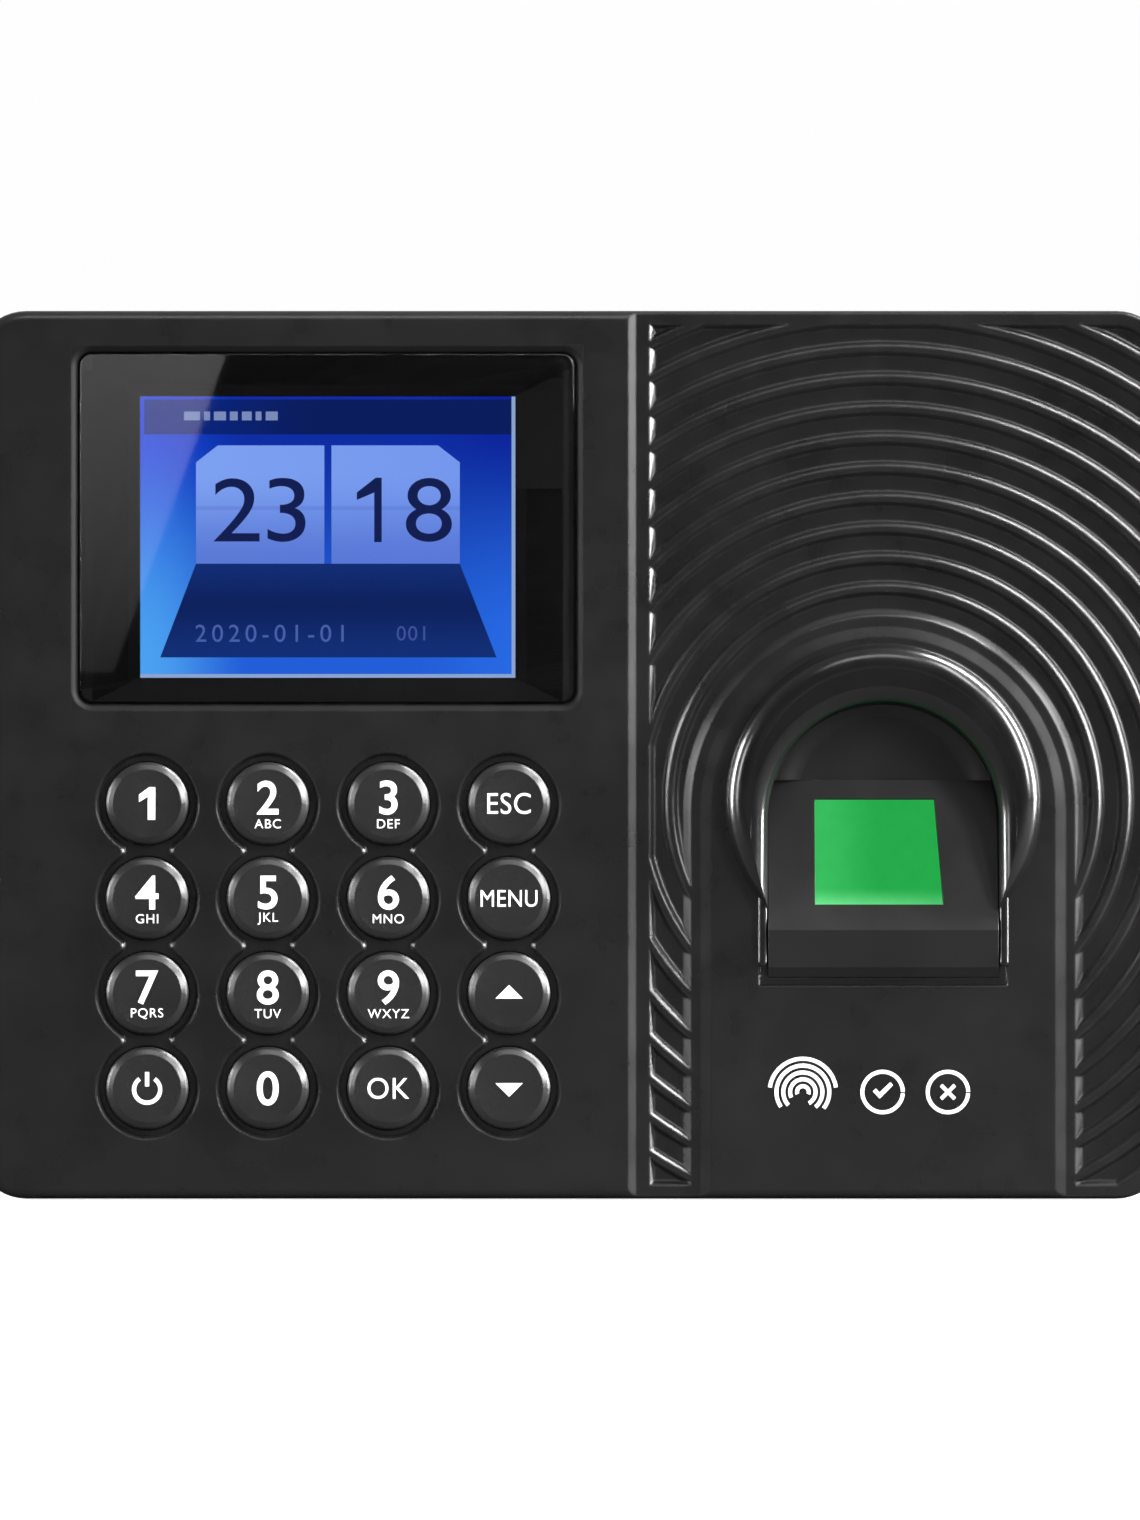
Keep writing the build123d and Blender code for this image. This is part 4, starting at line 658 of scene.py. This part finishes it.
for index, (text, u) in enumerate((("2", 14.8), ("3", 22.45), ("1", 35.15), ("8", 44.3))):
    x, z = on_screen(u, FIGURES_DOWN)
    figure = figure_one(9.9) if text == "1" else glyphs(text, 14.1, -0.02)
    mesh = place(figure, x, z, lambda dx, dz: GLASS + 0.12, 0.01, 0.01, 1.0 if text == "1" else 1.16)
    name = f"screen_figure_{index + 1}"
    link(name, merged([mesh], name), digit_navy)
for name, text, u, size, spacing, colour in (
    ("screen_date", "2020-01-01", 19.85, 3.8, 1.35, srgb(88, 118, 205)),
    ("screen_count", "001", 41.55, 3.2, 1.1, srgb(74, 100, 190)),
):
    x, z = on_screen(u, SMALL_PRINT_DOWN)
    mesh = place(glyphs(text, size, spacing=spacing), x, z, lambda dx, dz: GLASS + 0.10, 0.01, 0.01)
    link(name, merged([mesh], name), lit(name, flat(colour)))
MARKS = ((6.7, 2.45), (9.8, 0.9), (11.3, 1.85), (13.75, 1.2), (15.6, 1.5), (17.7, 0.9), (19.25, 1.85))
marks = [[(u, MARKS_FOOT), (u + width, MARKS_FOOT), (u + width, MARKS_TOP), (u, MARKS_TOP)]
         for u, width in MARKS]
shapes_on_screen("screen_marks", marks, 0.09, lit("screen_marks", flat(srgb(150, 170, 225))))
edge = [[(0, ACTIVE_H), (ACTIVE_W, ACTIVE_H), (ACTIVE_W, foot), (0, foot)],
        [(side, foot), (ACTIVE_W, foot), (ACTIVE_W, 0), (side, 0)]]
shapes_on_screen("screen_edge", edge, 0.11, lit("screen_edge", flat(srgb(170, 200, 250))))

# ---------------------------------------------------------------- printed pictograms under the sensor
FACE = 34.0
PICTOGRAMS_Z = -51.6
PRINT_LIFT = 0.02
LINE = 0.30  # half the width of a printed line
# the pictograms' white ink gets a painted glow (0.10) as well, brighter than the lamps make it
white_ink = ink("white_ink", (0.80, 0.80, 0.79, 1), 0.5, glow=0.10)
ridges = [ring_outline(radius, LINE, start, end) for radius, start, end in (
    (0.9, -20, 200), (1.95, -62, 205), (3.0, -50, 222), (4.05, -38, 214), (5.1, 8, 172))]
tick = [(-1.5, 0.1), (-1.05, 0.55), (-0.45, -0.05), (1.15, 1.5), (1.6, 1.05), (-0.45, -1.0)]
cross = [(-1.25, 0.85), (-0.85, 1.25), (0, 0.4), (0.85, 1.25), (1.25, 0.85), (0.4, 0),
         (1.25, -0.85), (0.85, -1.25), (0, -0.4), (-0.85, -1.25), (-1.25, -0.85), (-0.4, 0)]
circle = ring_outline(3.1, LINE, 0, 356, 48)
for name, x, outlines in (
    ("finger_pictogram", 35.4, ridges),
    ("granted_pictogram", 47.6, [circle, tick]),
    ("refused_pictogram", 57.6, [circle, cross]),
):
    printed(name, outlines, x, PICTOGRAMS_Z, lambda dx, dz: FACE, "terminal", white_ink, PRINT_LIFT)

# ---------------------------------------------------------------- rating label, left blank
LABEL_X, LABEL_Z, LABEL_W, LABEL_H, LABEL_R = -28.0, 51.0, 55.2, 13.2, 1.2
LABEL_MARGIN = 1.3  # from the label's edge to its border line


def rounded_outline(x, z, width, height, radius, steps=6):
    """A round-cornered rectangle as a list of corners, anticlockwise."""
    outline = []
    for turn, (sx, sz) in enumerate(((1, -1), (1, 1), (-1, 1), (-1, -1))):
        for step in range(steps + 1):
            angle = math.radians(-90 + 90 * turn + 90 * step / steps)
            outline.append((x + sx * (width / 2 - radius) + radius * math.cos(angle),
                            z + sz * (height / 2 - radius) + radius * math.sin(angle)))
    return outline


s = Shader("label_foil")
streak = s.noise(1.2, 4.0, stretch=(0.08, 1, 1))
paper = s.mix(s.ramp(s.noise(6.0, 4.0), 0.3, 0.7), (0.50, 0.50, 0.51, 1), (0.58, 0.58, 0.59, 1))
border_half = (LABEL_W / 2 - LABEL_MARGIN, LABEL_H / 2 - LABEL_MARGIN)
border = s.math("ABSOLUTE", s.outside(LABEL_X, LABEL_Z, *border_half))
paper = s.mix(s.ramp(border, 0.22 * MM, 0.16 * MM), paper, grey(0.03))
shader = s.principled(Base_Color=paper, Roughness=s.linear(streak, 0.3, 0.7, 0.28, 0.46), Metallic=0.7,
                      Normal=s.bump(streak, 0.01, 0.5))
label_foil = s.finish(shader.outputs[0])
label_outline = rounded_outline(LABEL_X, LABEL_Z, LABEL_W, LABEL_H, LABEL_R)
raised("rating_label", [label_outline], 0.50, 0.14, label_foil)

# ---------------------------------------------------------------- floor and surroundings
bm = bmesh.new()
bmesh.ops.create_circle(bm, cap_ends=True, segments=96, radius=30.0)
mesh = bpy.data.meshes.new("floor")
bm.to_mesh(mesh)
bm.free()
floor = bpy.data.objects.new("floor", mesh)
floor.location = (0, 0, cad_box[0].z - 0.2 * MM)
collection.objects.link(floor)
s = Shader("floor_white")
seen_directly = s.add("ShaderNodeLightPath").outputs["Is Camera Ray"]
paint = s.mix(s.noise(300.0), grey(0.50), grey(0.53))
tone = s.mix(seen_directly, grey(0.07), paint)  # it looks white, yet throws little light up on the case
shader = s.principled(Base_Color=tone, Roughness=0.8, Specular_IOR_Level=0.05, Emission_Color=(1, 1, 1, 1),
                      Emission_Strength=s.math("MULTIPLY", seen_directly, 0.80))
mesh.materials.append(s.finish(shader.outputs[0]))

s = WorldShader(bpy.data.worlds.new("studio"))
direction = s.add("ShaderNodeTexCoord").outputs["Generated"]
parted = s.add("ShaderNodeSeparateXYZ", {"Vector": direction})
dimmed = s.ramp(parted.outputs["Y"], -0.2, -0.8, 0.34, 0.03)  # the room is dark on the camera's side
ambient = s.add("ShaderNodeBackground", {"Color": grey(1.0), "Strength": dimmed})
seen = s.add("ShaderNodeBackground", {"Color": grey(0.99)})
seen_directly = s.add("ShaderNodeLightPath").outputs["Is Camera Ray"]
surroundings = s.add("ShaderNodeMixShader", {0: seen_directly, 1: ambient.outputs[0], 2: seen.outputs[0]})
scene.world = s.finish(surroundings.outputs[0])

# ---------------------------------------------------------------- lights


def strip(name, location, target, size, power):
    """A rectangular light that the camera doesn't see."""
    data = bpy.data.lights.new(name, "AREA")
    data.shape = "RECTANGLE"
    data.size, data.size_y = size
    data.energy = power
    obj = bpy.data.objects.new(name, data)
    obj.location = location
    obj.rotation_mode = "QUATERNION"
    obj.rotation_quaternion = (Vector(target) - Vector(location)).to_track_quat("-Z", "Y")
    obj.visible_camera = False
    collection.objects.link(obj)


# the grazing strips light the walls of the grooves, and the keys light the rounded edges
FACE_Y = -FACE * MM
strip("right_graze", (1.25, -0.155, 0.28), (0.03, FACE_Y, 0), (0.14, 0.90), 80)
strip("right_key", (1.00, -0.80, 0.40), (0.03, FACE_Y, 0), (0.18, 0.60), 19)
strip("corner_graze", (0.80, -0.155, 1.00), (0.04, FACE_Y, 0), (0.14, 0.80), 48)
strip("corner_key", (0.62, -0.80, 0.90), (0.04, FACE_Y, 0), (0.18, 0.50), 6.5)
strip("left_graze", (-1.25, -0.175, 0.20), (0, FACE_Y, 0), (0.14, 0.70), 30)
strip("left_key", (-1.00, -0.80, 0.20), (0, FACE_Y, 0), (0.16, 0.50), 5)
strip("high_fill", (0.0, -1.15, 1.25), (0, FACE_Y, 0), (0.8, 0.3), 5)
strip("back_light", (0.2, 1.3, 0.7), (0, 0, 0), (1.2, 0.8), 6)

# a soft pool of light on the front that nothing mirrors
pool = bpy.data.lights.new("front_glow", "SPOT")
pool.spot_size, pool.spot_blend, pool.energy = math.radians(19), 1.0, 20
pool.shadow_soft_size = 0.08
front_glow = bpy.data.objects.new("front_glow", pool)
front_glow.location = (0.02, -0.95, -0.012)
front_glow.rotation_euler = (math.radians(90), 0, 0)
front_glow.visible_glossy = False
front_glow.visible_camera = False
collection.objects.link(front_glow)

# a pale card that only the lens mirrors, in its upper left corner
DISTANCE = 1.2  # from the front face to the camera
CARD_Y = -1.0
CARD_LOW, CARD_BRIGHT, CARD_TOP = 0.0130, 0.0610, 0.0660  # where its reflection starts, peaks and ends
spread = 1 + (FACE_Y - CARD_Y) / DISTANCE  # how much larger the card is than its reflection
bm = bmesh.new()
corners = ((-0.0800, CARD_TOP), (-0.0512, CARD_TOP), (-0.0700, CARD_LOW), (-0.0800, CARD_LOW))
bm.faces.new([bm.verts.new((px * spread, CARD_Y, pz * spread)) for px, pz in corners])
mesh = bpy.data.meshes.new("lens_card")
bm.to_mesh(mesh)
bm.free()
card = bpy.data.objects.new("lens_card", mesh)
collection.objects.link(card)
card.visible_camera = card.visible_diffuse = card.visible_shadow = card.visible_transmission = False
s = Shader("card_glow")
_, _, height = s.axes()
fade = s.linear(height, CARD_LOW * spread, CARD_BRIGHT * spread, 0.35, 1.60)
mesh.materials.append(s.finish(s.add("ShaderNodeEmission", {"Strength": fade}).outputs[0]))

# ---------------------------------------------------------------- camera
camera_data = bpy.data.cameras.new("camera")
camera = bpy.data.objects.new("camera", camera_data)
collection.objects.link(camera)
scene.camera = camera
VIEW_HEIGHT = 0.23256  # height of the picture at the front face
SENSOR = 36.0
camera_data.sensor_width = SENSOR
camera_data.lens = SENSOR * DISTANCE / VIEW_HEIGHT
camera.location = (-0.00023, FACE_Y - DISTANCE, -0.0008)
camera.rotation_euler = (math.radians(90), 0, 0)
camera_data.clip_start, camera_data.clip_end = 0.05, 100

scene.view_settings.view_transform = "Standard"
